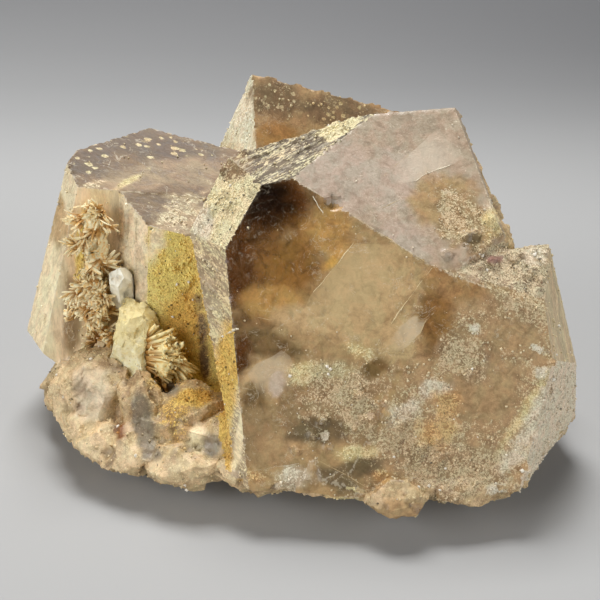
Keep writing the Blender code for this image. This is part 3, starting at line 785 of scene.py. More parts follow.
# Marks as seen from the eye, for each area in the order in which they are laid:
# x, y, half width, half height, turn, look.
MARKS = {
    "front": {
        "smoky left of the window": (256, 250, 48, 80, -6, "brown glass"),
        "smoky margin": (236, 258, 16, 62, 0, "brown smoke"),
        "brown top": (290, 200, 30, 22, -30, "brown smoke"),
        "dark corner": (262, 206, 30, 28, -10, "dark smoke"),
        "darkest corner": (264, 195, 22, 16, 10, "black smoke"),
        "golden middle": (296, 262, 30, 36, -20, "golden glass"),
        "golden step": (272, 302, 32, 15, 0, "orange glass"),
        "orange flank": (330, 232, 26, 24, -40, "orange glass"),
        "glowing fracture": (332, 262, 12, 6, 45, "glow"),
        "tan right of the window": (375, 284, 46, 36, 20, "tan milk"),
        "tan below the fracture": (316, 320, 40, 14, -6, "tan milk"),
        "tan middle": (350, 322, 32, 22, 0, "tan milk"),
        "olive step": (268, 344, 34, 15, -14, "olive smoke"),
        "dark blade": (240, 360, 12, 22, -6, "brown smoke"),
        "cloud below the step": (266, 374, 26, 14, 25, "tan milk"),
        "oval chip": (277, 384, 8, 14, -8, "rosy milk"),
        "olive hollow": (255, 400, 13, 17, 0, "olive smoke"),
        "dull left edge": (254, 438, 24, 30, 0, "dull milk"),
        "dull middle": (292, 408, 16, 26, -10, "dull milk"),
        "dull lower middle": (286, 446, 32, 16, 20, "smooth milk"),
        "yellow patch left": (306, 373, 16, 11, 20, "yellow crust"),
        "green patch": (332, 376, 22, 16, 0, "green crust"),
        "yellow patch right": (356, 350, 12, 7, -20, "yellow crust"),
        "granular patch": (344, 402, 46, 26, 5, "fawn crust"),
        "olive grit": (318, 430, 26, 10, 0, "olive grit"),
        "dark notch": (374, 369, 11, 7, 20, "olive smoke"),
        "veiled lens": (404, 336, 26, 20, 20, "tan milk"),
        "silver patch": (437, 388, 18, 8, 12, "silver crust"),
        "pale cloud": (402, 414, 26, 12, 30, "silver crust"),
        "lower fawn crust": (400, 440, 36, 26, 0, "fawn crust"),
        "lower right crust": (450, 462, 56, 30, 0, "fawn crust"),
        "shoulder hollow": (436, 318, 18, 34, -10, "golden glass"),
        "brown brow": (460, 284, 30, 18, -10, "brown milk"),
        "smooth shoulder": (484, 384, 30, 32, 0, "smooth milk"),
        "smooth right": (510, 335, 24, 14, 0, "smooth milk"),
        "crusted middle": (466, 356, 26, 20, -20, "fawn crust"),
        "warm spot": (447, 404, 14, 12, -40, "warm crust"),
        "warm crust below": (438, 430, 20, 14, 0, "warm crust"),
        "white spot": (476, 329, 7, 7, -30, "white crust"),
        "upper white fleck": (538, 349, 7, 3, -30, "white crust"),
        "lower white fleck": (542, 373, 6, 5, 0, "white crust"),
        "crust by the corner": (516, 302, 30, 14, -30, "fawn crust"),
        "yellow margin": (526, 412, 6, 36, -34, "yellow crust"),
        "silver margin": (538, 424, 15, 48, -34, "silver crust"),
        "yellow streak": (360, 454, 24, 7, 10, "yellow crust"),
        "dark wedge": (360, 467, 24, 8, 8, "olive grit"),
        "second wedge": (334, 477, 26, 8, -26, "olive grit"),
        "silver foot edge": (294, 477, 18, 10, -6, "silver crust"),
        "ochre foot edge": (253, 476, 12, 8, 0, "warm crust"),
        "white speck": (326, 435, 4, 4, 0, "white crust"),
        "low white speck": (495, 491, 10, 6, 0, "white crust"),
        "low gold speck": (384, 478, 9, 7, 0, "warm crust"),
    },
    "lilac": {
        "mauve flank": (335, 172, 46, 36, -28, "mauve milk"),
        "warm middle": (392, 184, 28, 34, 0, "mauve milk"),
        "taupe above the flash": (412, 126, 34, 14, 0, "taupe milk"),
        "tan lower side": (444, 202, 32, 26, 0, "smooth milk"),
        "dusted lower side": (462, 214, 26, 22, -30, "fawn crust"),
        "pale lower edge": (404, 236, 28, 14, -32, "mauve milk"),
        "crusted corner": (478, 232, 28, 22, 0, "fawn crust"),
        "cream patch": (494, 202, 9, 13, 0, "silver crust"),
        "yellow corner": (492, 222, 8, 15, 0, "yellow crust"),
        "olive corner": (472, 240, 8, 5, 30, "olive grit"),
        "brow strip": (510, 300, 62, 16, -24, "fawn crust"),
    },
    "top": {
        "plum spot": (494, 259, 8, 5, 0, "plum"),
        "pale top end": (536, 256, 10, 8, 0, "silver crust"),
    },
    "bands": {
        "cream tip": (342, 126, 20, 9, 30, "cream crust"),
        "dark band top": (236, 166, 20, 15, 20, "dark dots"),
        "cream band": (222, 206, 20, 26, 0, "cream crust"),
        "silver band foot": (202, 224, 10, 14, 0, "silver crust"),
        "clay blade": (222, 392, 17, 92, -15, "ochre clay"),
        "cream blade rim": (240, 436, 5, 44, -10, "cream clay"),
    },
    "left_top": {
        "dull right end": (188, 170, 34, 20, -14, "taupe ledge"),
        "dotted edge": (146, 145, 60, 12, -6, "pale dots"),
        "dotted corner": (92, 160, 30, 12, 30, "pale dots"),
        "streaked end": (184, 206, 34, 18, 24, "streaked crust"),
        "dull slope": (140, 180, 40, 12, 14, "taupe ledge"),
        "granular streak": (92, 186, 12, 4, 16, "streaked crust"),
        # a painted highlight on the left crystal's top, laid with the yellow crust look
        "painted shine": (128, 182, 18, 3, 31, "yellow crust"),
    },
    "left": {
        "smooth front": (128, 230, 24, 42, 0, "bright milk"),
        "smooth front foot": (139, 280, 10, 36, -6, "pale milk"),
        "rust spot": (119, 236, 4, 3, 0, "rust"),
        "stained strip": (95, 270, 30, 84, 0, "pink clay"),
        "tan prism top": (55, 222, 14, 28, 8, "tan milk"),
        "cream prism": (44, 290, 16, 54, 0, "cream clay"),
        "gold seam": (80, 262, 5, 52, -4, "gold clay"),
        "brown seam": (72, 315, 8, 40, 0, "dull milk"),
    },
    "clay": {
        "cream clay top": (158, 243, 12, 22, 0, "cream clay"),
        "gold clay": (178, 275, 24, 44, 0, "gold clay"),
        "dark clay": (182, 328, 20, 34, 0, "dark clay"),
        # painted shade in the crevice between the left crystal and the main one, over dark crust
        "crevice shade by the clay": (203, 342, 6, 34, 4, "dark crust and crevice shade"),
    },
    "foot": {
        "quartz lump": (88, 394, 24, 32, 0, "pale milk"),
        "stained rim": (60, 394, 12, 36, 0, "pink clay"),
        "stained lumps": (96, 440, 36, 15, -20, "pink clay"),
        "rust gap": (119, 430, 8, 18, 10, "rust"),
        "pink lump": (128, 455, 13, 12, 0, "pink clay"),
        "grey pillar": (143, 424, 11, 38, 9, "grey striped"),
        "grey pillar foot": (152, 458, 11, 20, 9, "grey striped"),
        "gold lump": (174, 424, 18, 26, 0, "ochre flecks"),
        "cream lump": (198, 438, 10, 14, 0, "cream clay"),
        "ochre arch": (168, 380, 20, 10, 20, "ochre clay"),
        "glassy hollow": (170, 388, 9, 7, 0, "grey stone"),
        "ochre crust": (196, 398, 16, 9, 0, "dark clay"),
        "glassy chip": (212, 446, 9, 12, 0, "grey stone"),
        "pale rim": (188, 472, 52, 12, -8, "pink clay"),
        "ochre rim": (250, 475, 14, 9, 0, "ochre clay"),
        "dark rim": (272, 480, 5, 12, 0, "olive grit"),
        "silver rim": (296, 480, 20, 12, -6, "silver crust"),
        "yellow rim": (340, 492, 22, 8, -14, "yellow crust"),
        "tan bulge": (398, 510, 34, 10, 0, "smooth milk"),
        "fawn right rim": (460, 492, 34, 9, 10, "fawn crust"),
        "grey tail": (505, 510, 14, 10, 0, "grey stone"),
    },
    "back": {
        "dotted shadow side": (276, 98, 30, 20, -12, "dark dots"),
        "orange stain": (275, 134, 20, 12, 0, "tan stain"),
        "dotted right side": (335, 112, 44, 16, -12, "brown dots"),
    },
}

# Inner veils: area, outline in the view, brightest place, reach, share, tone.
VEILS = {
    "fracture in the window": (
        "front", ((354, 243), (346, 254), (338, 263), (330, 273), (321, 284), (311, 294), (300, 320),
                  (330, 345), (392, 350), (440, 310), (436, 270), (395, 245)),
        (338, 270), 74, 0.7, (188, 160, 114),
    ),
    "flash in the lilac face": (
        "lilac", ((380, 178), (397, 163), (414, 150), (438, 128), (464, 138), (464, 158), (451, 165),
                  (433, 171), (424, 175), (415, 181), (400, 184)),
        (428, 165), 46, 0.75, (198, 182, 160),
    ),
    "cloud round the chip": (
        "front", ((247, 374), (257, 363), (272, 357), (282, 350), (290, 356), (296, 372), (292, 396),
                  (276, 404), (262, 398)),
        (268, 366), 38, 0.75, (178, 158, 130),
    ),
    "lens by the shoulder": (
        "front", ((385, 352), (396, 353), (408, 346), (420, 333), (428, 316), (430, 300), (418, 294),
                  (396, 306), (382, 330)),
        (422, 326), 46, 0.8, (200, 180, 148),
    ),
}

# Raised edges of fractures and thin splinters, their pale tones partly a painted highlight along them:
# width in mm, tone, places in the view.
PALE_EDGE = (224, 202, 156)
FAWN_EDGE = (196, 172, 128)
WHITE_EDGE = (222, 210, 184)
EDGES = {
    "fracture in the window": (0.34, PALE_EDGE, ((354, 243), (338, 263), (321, 284), (311, 294))),
    "veil by the shoulder": (
        0.30, PALE_EDGE,
        ((432, 268), (420, 283), (409, 298), (399, 312), (390, 326)),
    ),
    "upper arc": (0.20, FAWN_EDGE, ((252, 308), (262, 311), (275, 312), (289, 308))),
    "lower arc": (0.20, FAWN_EDGE, ((256, 317), (270, 320), (285, 317))),
    "edge of the lens": (0.26, FAWN_EDGE, ((385, 352), (396, 353), (408, 346), (420, 333), (428, 316))),
    "foot fracture": (0.26, FAWN_EDGE, ((314, 458), (327, 465), (342, 473), (356, 481), (369, 489))),
    "silver foot line": (0.30, WHITE_EDGE, ((252, 471), (264, 469), (276, 467), (290, 465), (302, 463))),
    "splinter by the blade": (0.8, WHITE_EDGE, ((225, 335), (233, 331), (242, 329))),
    "splinter on the ridge": (0.7, WHITE_EDGE, ((313, 196), (318, 205), (324, 216))),
    "flash edge": (0.40, WHITE_EDGE, ((415, 181), (424, 175), (433, 171), (442, 168), (452, 164))),
    "thin flash edge": (0.22, FAWN_EDGE, ((384, 176), (397, 164), (411, 153))),
    "thin lilac line": (0.20, FAWN_EDGE, ((382, 208), (391, 204), (401, 199))),
    "worn ridge": (0.22, FAWN_EDGE, ((335, 206), (360, 220), (385, 236), (410, 252), (432, 266))),
}


def coat_body(coat):
    """The plain coat of the broken foot, each face's own, and the marks and veils on them."""
    everywhere = np.arange(len(coat.mm))
    coat.paint(everywhere, np.ones(len(everywhere)), {"rough": 1.0, **dict(zip(COAT_FIELDS, FOOT_COAT))})
    for name, values in FACE_COATS.items():
        coat.cover(name, {"rough": 0.0, **dict(zip(COAT_FIELDS, values))})
    for area, marks in MARKS.items():
        for x, y, wide, high, turn, look in marks.values():
            coat.dab(area, x, y, wide, high, turn, **LOOKS[look])
    for veil in VEILS.values():
        coat.veil(*veil)


# ---------------------------------------------------------------- materials

# Tones of details, from 0 to 255.
WORN_HIGHLIGHT_AND_THREAD_TONE = (214, 200, 172)            # ridges pale with wear and a painted highlight, and pale threads in the quartz
SPECK_TONE = (78, 60, 36)
# painted shade for the hollows of the chips and of the crust
HOLLOW_SHADE_TONE = (96, 68, 38)
CRUST_SPECK_TONE = (84, 66, 40)
CRUST_HOLLOW_SHADE_TONE = (104, 74, 40)
GREEN_YELLOW = (232, 206, 120)
GREEN_PIT = (176, 150, 78)
GREEN_TOP = (240, 214, 146)
# painted shade for the green crystal's hollows
GREEN_HOLLOW_SHADE = (186, 158, 90)
BLADE_FOOT_TONE = (176, 124, 54)
WHITE_SHADE = (214, 208, 184)
WHITE_LIGHT = (238, 232, 208)
# painted shade for the white crystal's hollows
WHITE_HOLLOW_SHADE = (190, 160, 110)
GRAIN_WHITE = (238, 230, 212)


class BodyMaterial:
    """Smoky quartz: clear, milky, veiled and crusted by the body's own fields."""

    def __init__(self, settings):
        self.settings = settings
        tree = self.tree = Tree("smoky_quartz_body")
        flow = tree.vector("flow")
        self.patch = tree.noise(flow, 0.2, 3.0, 0.6, 0.6)
        self.cloudy = tree.noise(flow, 0.42, 4.0, 0.6, 0.8)
        self.fine = tree.noise(flow, 1.5, 4.0, 0.7, 0.3)
        self.grainy = tree.noise(flow, 3.4, 2.0, 0.6)
        self.hue = tree.noise(flow, 0.31, 3.0, 0.6, 0.4).ramp(0.38, 0.62)
        self.worm = 0.70 - abs(tree.noise(flow, 0.8, 4.0, 0.62, 1.0) - 0.5) * 2.4
        self.thread = abs(tree.noise(flow, 0.24, 4.0, 0.6, 1.4) - 0.5)
        self.dot = tree.cells(flow, 0.64)
        self.pattern = self.fine * 0.46 + self.worm * 0.26 + self.grainy * 0.28
        self.share = tree.value("crust")
        self.gloss = tree.value("gloss")
        self.specks = (tree.value("grit") * 0.34 + (self.grainy - 0.84)).ramp(-0.02, 0.03)
        self.inside = tree.value("veil").ramp(-0.05, 0.05) * tree.value("veil_share")
        self.wear()

    def crusted(self):
        """Where the crust lies: ragged patches, and round dots."""
        edge = 0.5 + (0.5 - self.share) * 0.42 - (self.patch - 0.5) * 0.34
        patches = (self.pattern - edge).ramp(-0.03, 0.045) * (self.share * 0.5 + 0.62).ramp(0.0, 1.0)
        dots = self.tree.value("dots") * 0.4 + (self.cloudy - 0.5) * 1.1 - self.dot
        return patches.either(dots.ramp(0.0, 0.1))

    def wear(self):
        """Pale ridges, partly wear and partly a painted highlight, and thin pale threads, on the smooth
        faces alone.
        """
        smooth = (1.0 - self.share) * (1.0 - self.tree.value("rough"))
        near = 0.30 + (self.fine - 0.5) * 2.0 - self.tree.value("rim")
        self.worn_highlight = near.ramp(0.0, 0.14) * smooth * 0.5
        thin = (0.012 - self.thread).ramp(0.0, 0.01) * (self.patch - 0.48).ramp(0.0, 0.1)
        self.threads = thin * smooth * 0.5

    def milky(self):
        """Cloudy quartz with its veils, specks and worn ridges."""
        tree = self.tree
        even = (self.cloudy * 0.45 + self.fine * 0.35 + self.grainy * 0.2).ramp(0.36, 0.64)
        mottle = 0.5 + (even - 0.5) * (1.2 - self.gloss)
        tone = tree.tinted(tree.colour("tone"), self.hue)
        deep, pale = tree.times(tone, 0.68, 0.63, 0.57), tree.times(tone, 1.22, 1.22, 1.24)
        tone = tree.mix(mottle, deep, pale)
        tone = tree.mix(self.inside, tone, tree.mix(mottle * 0.4, tree.colour("veil_tone"), pale))
        # the pale ridge line is partly wear and partly a painted highlight
        tone = tree.mix(self.worn_highlight.either(self.threads), tone, rgba(WORN_HIGHLIGHT_AND_THREAD_TONE))
        tone = tree.mix(self.specks * 0.6, tone, rgba(SPECK_TONE))
        # painted shade in the hollows of the chips and the crust
        tone = tree.mix(tree.value("hollow") * 0.55, tone, rgba(HOLLOW_SHADE_TONE))
        return tree.surface(
            Base_Color=tone, Roughness=0.64 - self.gloss * 0.46, IOR=self.settings.refraction,
            Normal=tree.bump(self.fine, 0.3, 0.0004),
        )

    def crust(self):
        """Dry granular crust, with painted shade and painted light across its grains and painted shade in
        its hollows.
        """
        tree = self.tree
        tone = tree.tinted(tree.colour("crust_tone"), self.hue)
        shaded, lit = tree.times(tone, 0.66, 0.59, 0.49), tree.times(tone, 1.12, 1.12, 1.12)
        tone = tree.mix((self.grainy * 0.6 + self.fine * 0.4).ramp(0.38, 0.6), shaded, lit)
        tone = tree.mix(self.specks * 0.8, tone, rgba(CRUST_SPECK_TONE))
        # painted shade in the hollows between the crust's grains
        tone = tree.mix(tree.value("hollow") * 0.4, tone, rgba(CRUST_HOLLOW_SHADE_TONE))
        skin = tree.bump(self.pattern + self.grainy * 0.4, 0.9, 0.0007)
        return tree.surface(Base_Color=tone, Roughness=0.85, IOR=1.5, Normal=skin)

    def clear(self):
        """Clear quartz."""
        return self.tree.surface(
            Base_Color=(1, 1, 1, 1), Roughness=0.03, IOR=self.settings.refraction,
            Transmission_Weight=1.0, Normal=self.tree.bump(self.cloudy, 0.25, 0.0006),
        )

    def material(self):
        """The three mixed, round a smoky inside."""
        tree, settings = self.tree, self.settings
        cloud = (tree.value("milk") + (self.cloudy - 0.5) * 0.8).ramp(0.05, 0.95)
        cloud = cloud.either(self.inside).either(self.worn_highlight).either(self.threads)
        quartz = tree.blend(cloud, self.clear(), self.milky())
        smoke = {"Color": settings.smoke, "Density": settings.smoke_density}
        inside = tree.node("ShaderNodeVolumeAbsorption", {}, smoke)
        return tree.finish(tree.blend(self.crusted(), quartz, self.crust()), Volume=inside)


def grain_material(name):
    """Dry opaque grains whose tone each grain carries, darkened in patches by painted shade."""
    tree = Tree(name)
    fleck = tree.noise(tree.vector("flow"), 2.4, 2.0)
    tone = tree.colour("tone")
    # painted shade: a darker copy of the tone in patches of the fleck noise
    tone = tree.mix(fleck.ramp(0.3, 0.6), tree.times(tone, 0.74, 0.67, 0.57), tone)
    skin = tree.bump(fleck, 0.4, 0.0002)
    return tree.finish(tree.surface(Base_Color=tone, Roughness=0.75, IOR=1.5, Normal=skin))


def green_material(settings):
    """Waxy pale green mineral with cream and olive patches."""
    tree = Tree("pale_green_block")
    place = tree.vector("flow")
    cloud = tree.noise(place, 0.18, 4.0, 0.6, 0.5)
    patch = tree.noise(place, 0.42, 3.0, 0.6, 0.8)
    fine = tree.noise(place, 1.6, 3.0, 0.6)
    tone = tree.mix(cloud.ramp(0.42, 0.6), rgba(settings.green[:]), rgba(settings.green_pale[:]))
    tone = tree.mix(patch.ramp(0.5, 0.6) * 0.8, tone, rgba(settings.green_cream[:]))
    tone = tree.mix(fine.ramp(0.52, 0.66) * 0.5, tone, rgba(GREEN_YELLOW))
    tone = tree.mix(fine.ramp(0.26, 0.4), rgba(GREEN_PIT), tone)
    tone = tree.mix(tree.value("high") * 0.8, tone, rgba(GREEN_TOP))
    # painted shade in the hollows of the chips
    tone = tree.mix(tree.value("hollow") * 0.5, tone, rgba(GREEN_HOLLOW_SHADE))
    skin = tree.bump(fine + patch * 0.6, 0.7, 0.0006)
    return tree.finish(tree.surface(Base_Color=tone, Roughness=0.56 - cloud * 0.25, IOR=1.55, Normal=skin))


def blade_material(name, light, dark):
    """Satin fibrous blades, browner towards their feet."""
    tree = Tree(name)
    fibre = tree.noise(tree.vector("flow"), 1.0, 3.0, 0.6)
    tone = tree.mix(fibre.ramp(0.34, 0.56), rgba(dark), rgba(light))
    tone = tree.mix(tree.value("foot").ramp(0.5, 1.0) * 0.9, tone, rgba(BLADE_FOOT_TONE))
    skin = tree.bump(fibre, 0.6, 0.0003)
    return tree.finish(tree.surface(Base_Color=tone, Roughness=0.5, IOR=1.5, Normal=skin))


def white_material(settings):
    """Cloudy white quartz, clearer in places."""
    tree = Tree("white_point")
    cloud = tree.noise(tree.vector("flow"), 0.35, 3.0, 0.6, 0.4)
    tone = tree.mix(cloud.ramp(0.35, 0.65), rgba(WHITE_SHADE), rgba(WHITE_LIGHT))
    # painted shade in the hollows of the chips
    tone = tree.mix(tree.value("hollow") * 0.5, tone, rgba(WHITE_HOLLOW_SHADE))
    clear = tree.surface(
        Base_Color=(1, 1, 1, 1), Roughness=0.12, IOR=settings.refraction, Transmission_Weight=1.0
    )
    milky = tree.surface(
        Base_Color=tone, Roughness=0.35, IOR=settings.refraction, Normal=tree.bump(cloud, 0.3, 0.0003)
    )
    return tree.finish(tree.blend((cloud * 1.4).ramp(0.15, 0.7), clear, milky))


# ---------------------------------------------------------------- settings

class QUARTZ_PG_body(bpy.types.PropertyGroup):
    voxel: bpy.props.FloatProperty(
        name="Mesh step", description="Distance between the points of the fine surface",
        default=0.00076, min=0.0004, max=0.003, unit="LENGTH",
    )
    refraction: bpy.props.FloatProperty(
        name="Refractive index", description="Refractive index of quartz",
        default=QUARTZ_INDEX, min=1.3, max=2.0,
    )
    smoke: bpy.props.FloatVectorProperty(
        name="Smoke", description="Colour that the clear quartz lets through", subtype="COLOR", size=4,
        default=(0.74, 0.52, 0.28, 1.0), min=0.0, max=1.0,
    )
    smoke_density: bpy.props.FloatProperty(
        name="Smoke density", description="How strongly a metre of quartz takes up light",
        default=60.0, min=0.0,
    )
    relief: bpy.props.FloatProperty(
        name="Relief", description="Depth of the chips in the broken foot",
        default=0.0011, min=0.0, unit="LENGTH",
    )


class QUARTZ_PG_grains(bpy.types.PropertyGroup):
    count: bpy.props.IntProperty(
        name="Grains", description="Crust grains on the body", default=22000, min=0, max=24000,
    )
    smallest: bpy.props.FloatProperty(
        name="Smallest", description="Half width of the smallest grain", default=0.00011, unit="LENGTH",
    )
    largest: bpy.props.FloatProperty(
        name="Largest", description="Half width of the largest grain", default=0.00046, unit="LENGTH",
    )


class QUARTZ_PG_minerals(bpy.types.PropertyGroup):
    refraction: bpy.props.FloatProperty(
        name="Refractive index", description="Refractive index of the white crystal",
        default=QUARTZ_INDEX, min=1.3, max=2.0,
    )
    green: bpy.props.FloatVectorProperty(
        name="Green", description="Green of the pale crystal, from 0 to 255", size=3,
        default=(232, 222, 166), min=0, max=255,
    )
    green_pale: bpy.props.FloatVectorProperty(
        name="Pale green", description="Palest green of the crystal, from 0 to 255", size=3,
        default=(248, 238, 192), min=0, max=255,
    )
    green_cream: bpy.props.FloatVectorProperty(
        name="Cream", description="Cream patches on the green crystal, from 0 to 255", size=3,
        default=(252, 240, 200), min=0, max=255,
    )


class QUARTZ_PG_blades(bpy.types.PropertyGroup):
    sheaf: bpy.props.IntProperty(
        name="Sheaf blades", description="Blades in the sheaf beside the green crystal",
        default=130, min=10, max=600,
    )
    bunch: bpy.props.IntProperty(
        name="Blades in a bunch", description="Blades in each bunch on the left crystal",
        default=11, min=4, max=60,
    )
    bunches: bpy.props.IntProperty(
        name="Bunches", description="Bunches of blades on the left crystal", default=64, min=4, max=200,
    )


class QUARTZ_PG_stage(bpy.types.PropertyGroup):
    floor: bpy.props.FloatVectorProperty(
        name="Floor", description="Colour of the floor", subtype="COLOR", size=4,
        default=(0.42, 0.42, 0.416, 1.0),
    )
    overhead: bpy.props.FloatProperty(
        name="Overhead light", description="Power of the soft light above",
        default=6.3, min=0.0, unit="POWER",
    )
    # the backdrop colour is the floor's with painted shade
    backdrop: bpy.props.FloatVectorProperty(
        name="Backdrop", description="Colour of the floor where it rises", subtype="COLOR", size=4,
        default=(0.134, 0.135, 0.139, 1.0),
    )
    left: bpy.props.FloatProperty(
        name="Left light", description="Power of the soft light on the left",
        default=3.8, min=0.0, unit="POWER",
    )
    right: bpy.props.FloatProperty(
        name="Right light", description="Power of the soft light on the right",
        default=2.7, min=0.0, unit="POWER",
    )
    fill: bpy.props.FloatProperty(
        name="Fill", description="Strength of the light from all round", default=0.02, min=0.0,
    )


# ---------------------------------------------------------------- operators

# Growth lines of the narrow faces: their direction, and how much they stretch the pattern.
STREAKS = {
    "band_high": ((16.0, 9.5, 6.6), 3.4),
    "band_low": ((6.0, -8.7, -2.0), 3.0),
    "blade": ((0.0, -0.3, -1.0), 2.2),
    "left_front": ((0.0, 0.0, 1.0), 4.0),
    "left_top": ((1.0, -0.35, -0.1), 2.0),
    "left_prism": ((-0.3, 0.1, -1.0), 1.8),
    "shoulder_right": ((0.1, -0.3, -1.0), 3.5),
    "back_left": ((-0.3, 0.1, -1.0), 2.5),
}


class QUARTZ_OT_body(bpy.types.Operator):
    """Dresses the grown-together smoky quartz crystals and their broken foot"""

    bl_idname = "quartz.body"
    bl_label = "Quartz body"

    def execute(self, context):
        settings = context.scene.quartz_body
        fine = FineCopy("smoky_quartz", settings.voxel)
        coat = Coat(fine)
        coat_body(coat)
        self.lay_streaks(coat)
        coat.keep()
        store(fine.mesh, "rim", fine.rim)
        self.roughen(coat, settings.relief)
        fine.shade()
        self.raise_edges(coat)
        body = new_piece("quartz_body", fine.mesh, BodyMaterial(settings).material())
        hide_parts("smoky_quartz")
        return {"FINISHED"}

    def roughen(self, coat, relief):
        """Chips on the foot, fine relief under the crust and faint waves on the faces, with how deep each
        point lies in the chips and the crust kept for painted shade.
        """
        points = coat.points / MM
        chips = fractured(points, 5.2, 11) * 0.75 + fractured(points, 2.4, 27) * 0.35
        granular = noise(points, 1.9, 13, 2)
        waves = noise(points, 12.0, 14, 2)
        rough = coat.at_vertices("rough")
        crust = coat.at_vertices("crust")
        thick = ramp(crust + noise(points, 3.0, 15, 2) * 0.5, 0.35, 0.9)
        height = rough * chips * relief + thick * (granular + 0.3) * CRUST_THICKNESS + waves * WAVE_HEIGHT
        moved = keep_in_box(coat.points + coat.normals * height[:, None])
        flat = coat.points[:, 2] < CAD_BOX[0][2] + UNDERSIDE
        moved[flat] = coat.points[flat]
        set_points(coat.mesh, moved)
        # painted shade: how deep each point lies in a chip or between the crust's grains, for the materials
        # to darken
        hollow = rough * ramp(-chips, 0.15, 0.6) + (1 - rough) * thick * ramp(-granular, 0.3, 0.8) * 0.6
        store(coat.mesh, "hollow", np.clip(hollow, 0, 1))

    def lay_streaks(self, coat):
        """Stretches the pattern along the growth lines of the narrow faces."""
        for name, (line, stretch) in STREAKS.items():
            way = np.array(Vector(line).normalized())
            here = coat.on((name,))
            along = coat.mm[here] @ way
            coat.values["flow"][here] = coat.mm[here] - np.outer(along * (1 - 1 / stretch), way)

    def raise_edges(self, coat):
        """Lays the thin raised edges of the fractures on the roughened surface, in pale tones that are
        partly a painted highlight.
        """
        surface = surface_of(coat.mesh)
        verts, faces, tones = [], [], []
        for number, (width, tone, places) in enumerate(EDGES.values()):
            path = self.path(surface, places)
            self.edge(path, number, width, verts, faces)
            tones += [linear(tone)] * (len(verts) - len(tones))
        verts = np.array(verts)
        mesh = joined(
            "fracture_edges", keep_in_box(verts), np.array(faces),
            (("tone", np.array(tones)), ("flow", verts / MM)),
        )
        edges = new_piece("fracture_edges", mesh, grain_material("fracture_edges"))

    def path(self, surface, places):
        """Points of the surface and its normals in small steps along some places of the view."""
        path = []
        for (start_x, start_y), (end_x, end_y) in zip(places, places[1:]):
            run_x, run_y = end_x - start_x, end_y - start_y
            steps = max(1, round(math.hypot(run_x, run_y) / EDGE_STEP))
            for part in (step / steps for step in range(steps)):
                hit, normal = seen_at(surface, start_x + run_x * part, start_y + run_y * part)
                if hit is not None:
                    path.append((hit, normal))
        return path

    def edge(self, path, number, width, verts, faces):
        """One fracture edge: a low three-sided ridge that comes and goes along its path."""
        spots = np.array([hit for hit, _ in path]) / MM
        stray = noise(spots, 1.6, 61 + number, 2) * width * 0.5 * MM
        sizes = width * MM * np.clip(0.6 + noise(spots, 3.0, 81 + number, 2) * 1.1, 0.0, 1.2)
        for step in range(len(path) - 1):
            (hit, normal), (after, _) = path[step], path[step + 1]
            if min(sizes[step], sizes[step + 1]) < width * EDGE_LEAST * MM:
                continue
            side = (after - hit).cross(normal).normalized()
            low = len(verts)
            for spot, near in ((hit, step), (after, step + 1)):
                middle, size = spot + side * stray[near], sizes[near]
                verts += [
                    middle + side * size / 2 - normal * EDGE_SINK,
                    middle + normal * size * EDGE_RISE,
                    middle - side * size / 2 - normal * EDGE_SINK,
                ]
            faces += [
                (low, low + 3, low + 4, low + 1),
                (low + 1, low + 4, low + 5, low + 2),
                (low + 2, low + 5, low + 3, low),
            ]


# The octahedron that every grain starts from.
GRAIN_CORNERS = np.array([(1, 0, 0), (-1, 0, 0), (0, 1, 0), (0, -1, 0), (0, 0, 1), (0, 0, -1)], float)
GRAIN_SIDES = np.array([
    (0, 2, 4), (2, 1, 4), (1, 3, 4), (3, 0, 4), (2, 0, 5), (1, 2, 5), (3, 1, 5), (0, 3, 5),
])

GRAIN_SEED = 41
GRAIN_SHAPES = (0.6, 1.15)       # how far a grain's corners reach, as shares of its half width
GRAIN_RISE = 0.25                # how far its middle lies above the surface, as a share of it
GRAIN_TONES = (0.8, 1.2)         # its tone, as shares of the crust's
DARK_GRAINS = 0.45               # share of the grains that are dark where the grit is 1
DARK_SHADE = 0.3                 # their tone, as a share of the others'
WHITE_GRAINS = 0.02              # share of the grains that are white
WHITE_SIZE = 1.6                 # their size, as a share of the others'


def random_turns(count, dice):
    """Random rotation matrices."""
    raw = dice.normal(size=(count, 4))
    w, x, y, z = (raw / np.linalg.norm(raw, axis=1, keepdims=True)).T
    return np.stack([
        1 - 2 * (y * y + z * z), 2 * (x * y - z * w), 2 * (x * z + y * w),
        2 * (x * y + z * w), 1 - 2 * (x * x + z * z), 2 * (y * z - x * w),
        2 * (x * z - y * w), 2 * (y * z + x * w), 1 - 2 * (x * x + y * y),
    ], axis=1).reshape(-1, 3, 3)


def scatter(mesh, weights, count, dice):
    """Random places on a mesh, denser where its corners weigh more, with normals and corners nearby."""
    mesh.calc_loop_triangles()
    triangles = numbers(mesh.loop_triangles, "vertices", np.int32, 3)
    corners = numbers(mesh.loop_triangles, "loops", np.int32, 3)
    points = points_of(mesh)
    first, second, third = (points[triangles[:, side]] for side in range(3))
    cross = np.cross(second - first, third - first)
    area = np.linalg.norm(cross, axis=1)
    share = area * weights[corners].mean(axis=1)
    chosen = dice.choice(len(share), size=count, p=share / share.sum())
    one, two = dice.random((2, count))
    flip = one + two > 1
    one, two = np.where(flip, 1 - one, one), np.where(flip, 1 - two, two)
    places = first[chosen] * (1 - one - two)[:, None]
    places += second[chosen] * one[:, None] + third[chosen] * two[:, None]
    outward = cross[chosen] / np.maximum(area[chosen], 1e-12)[:, None]
    return places, outward, corners[chosen, 0]


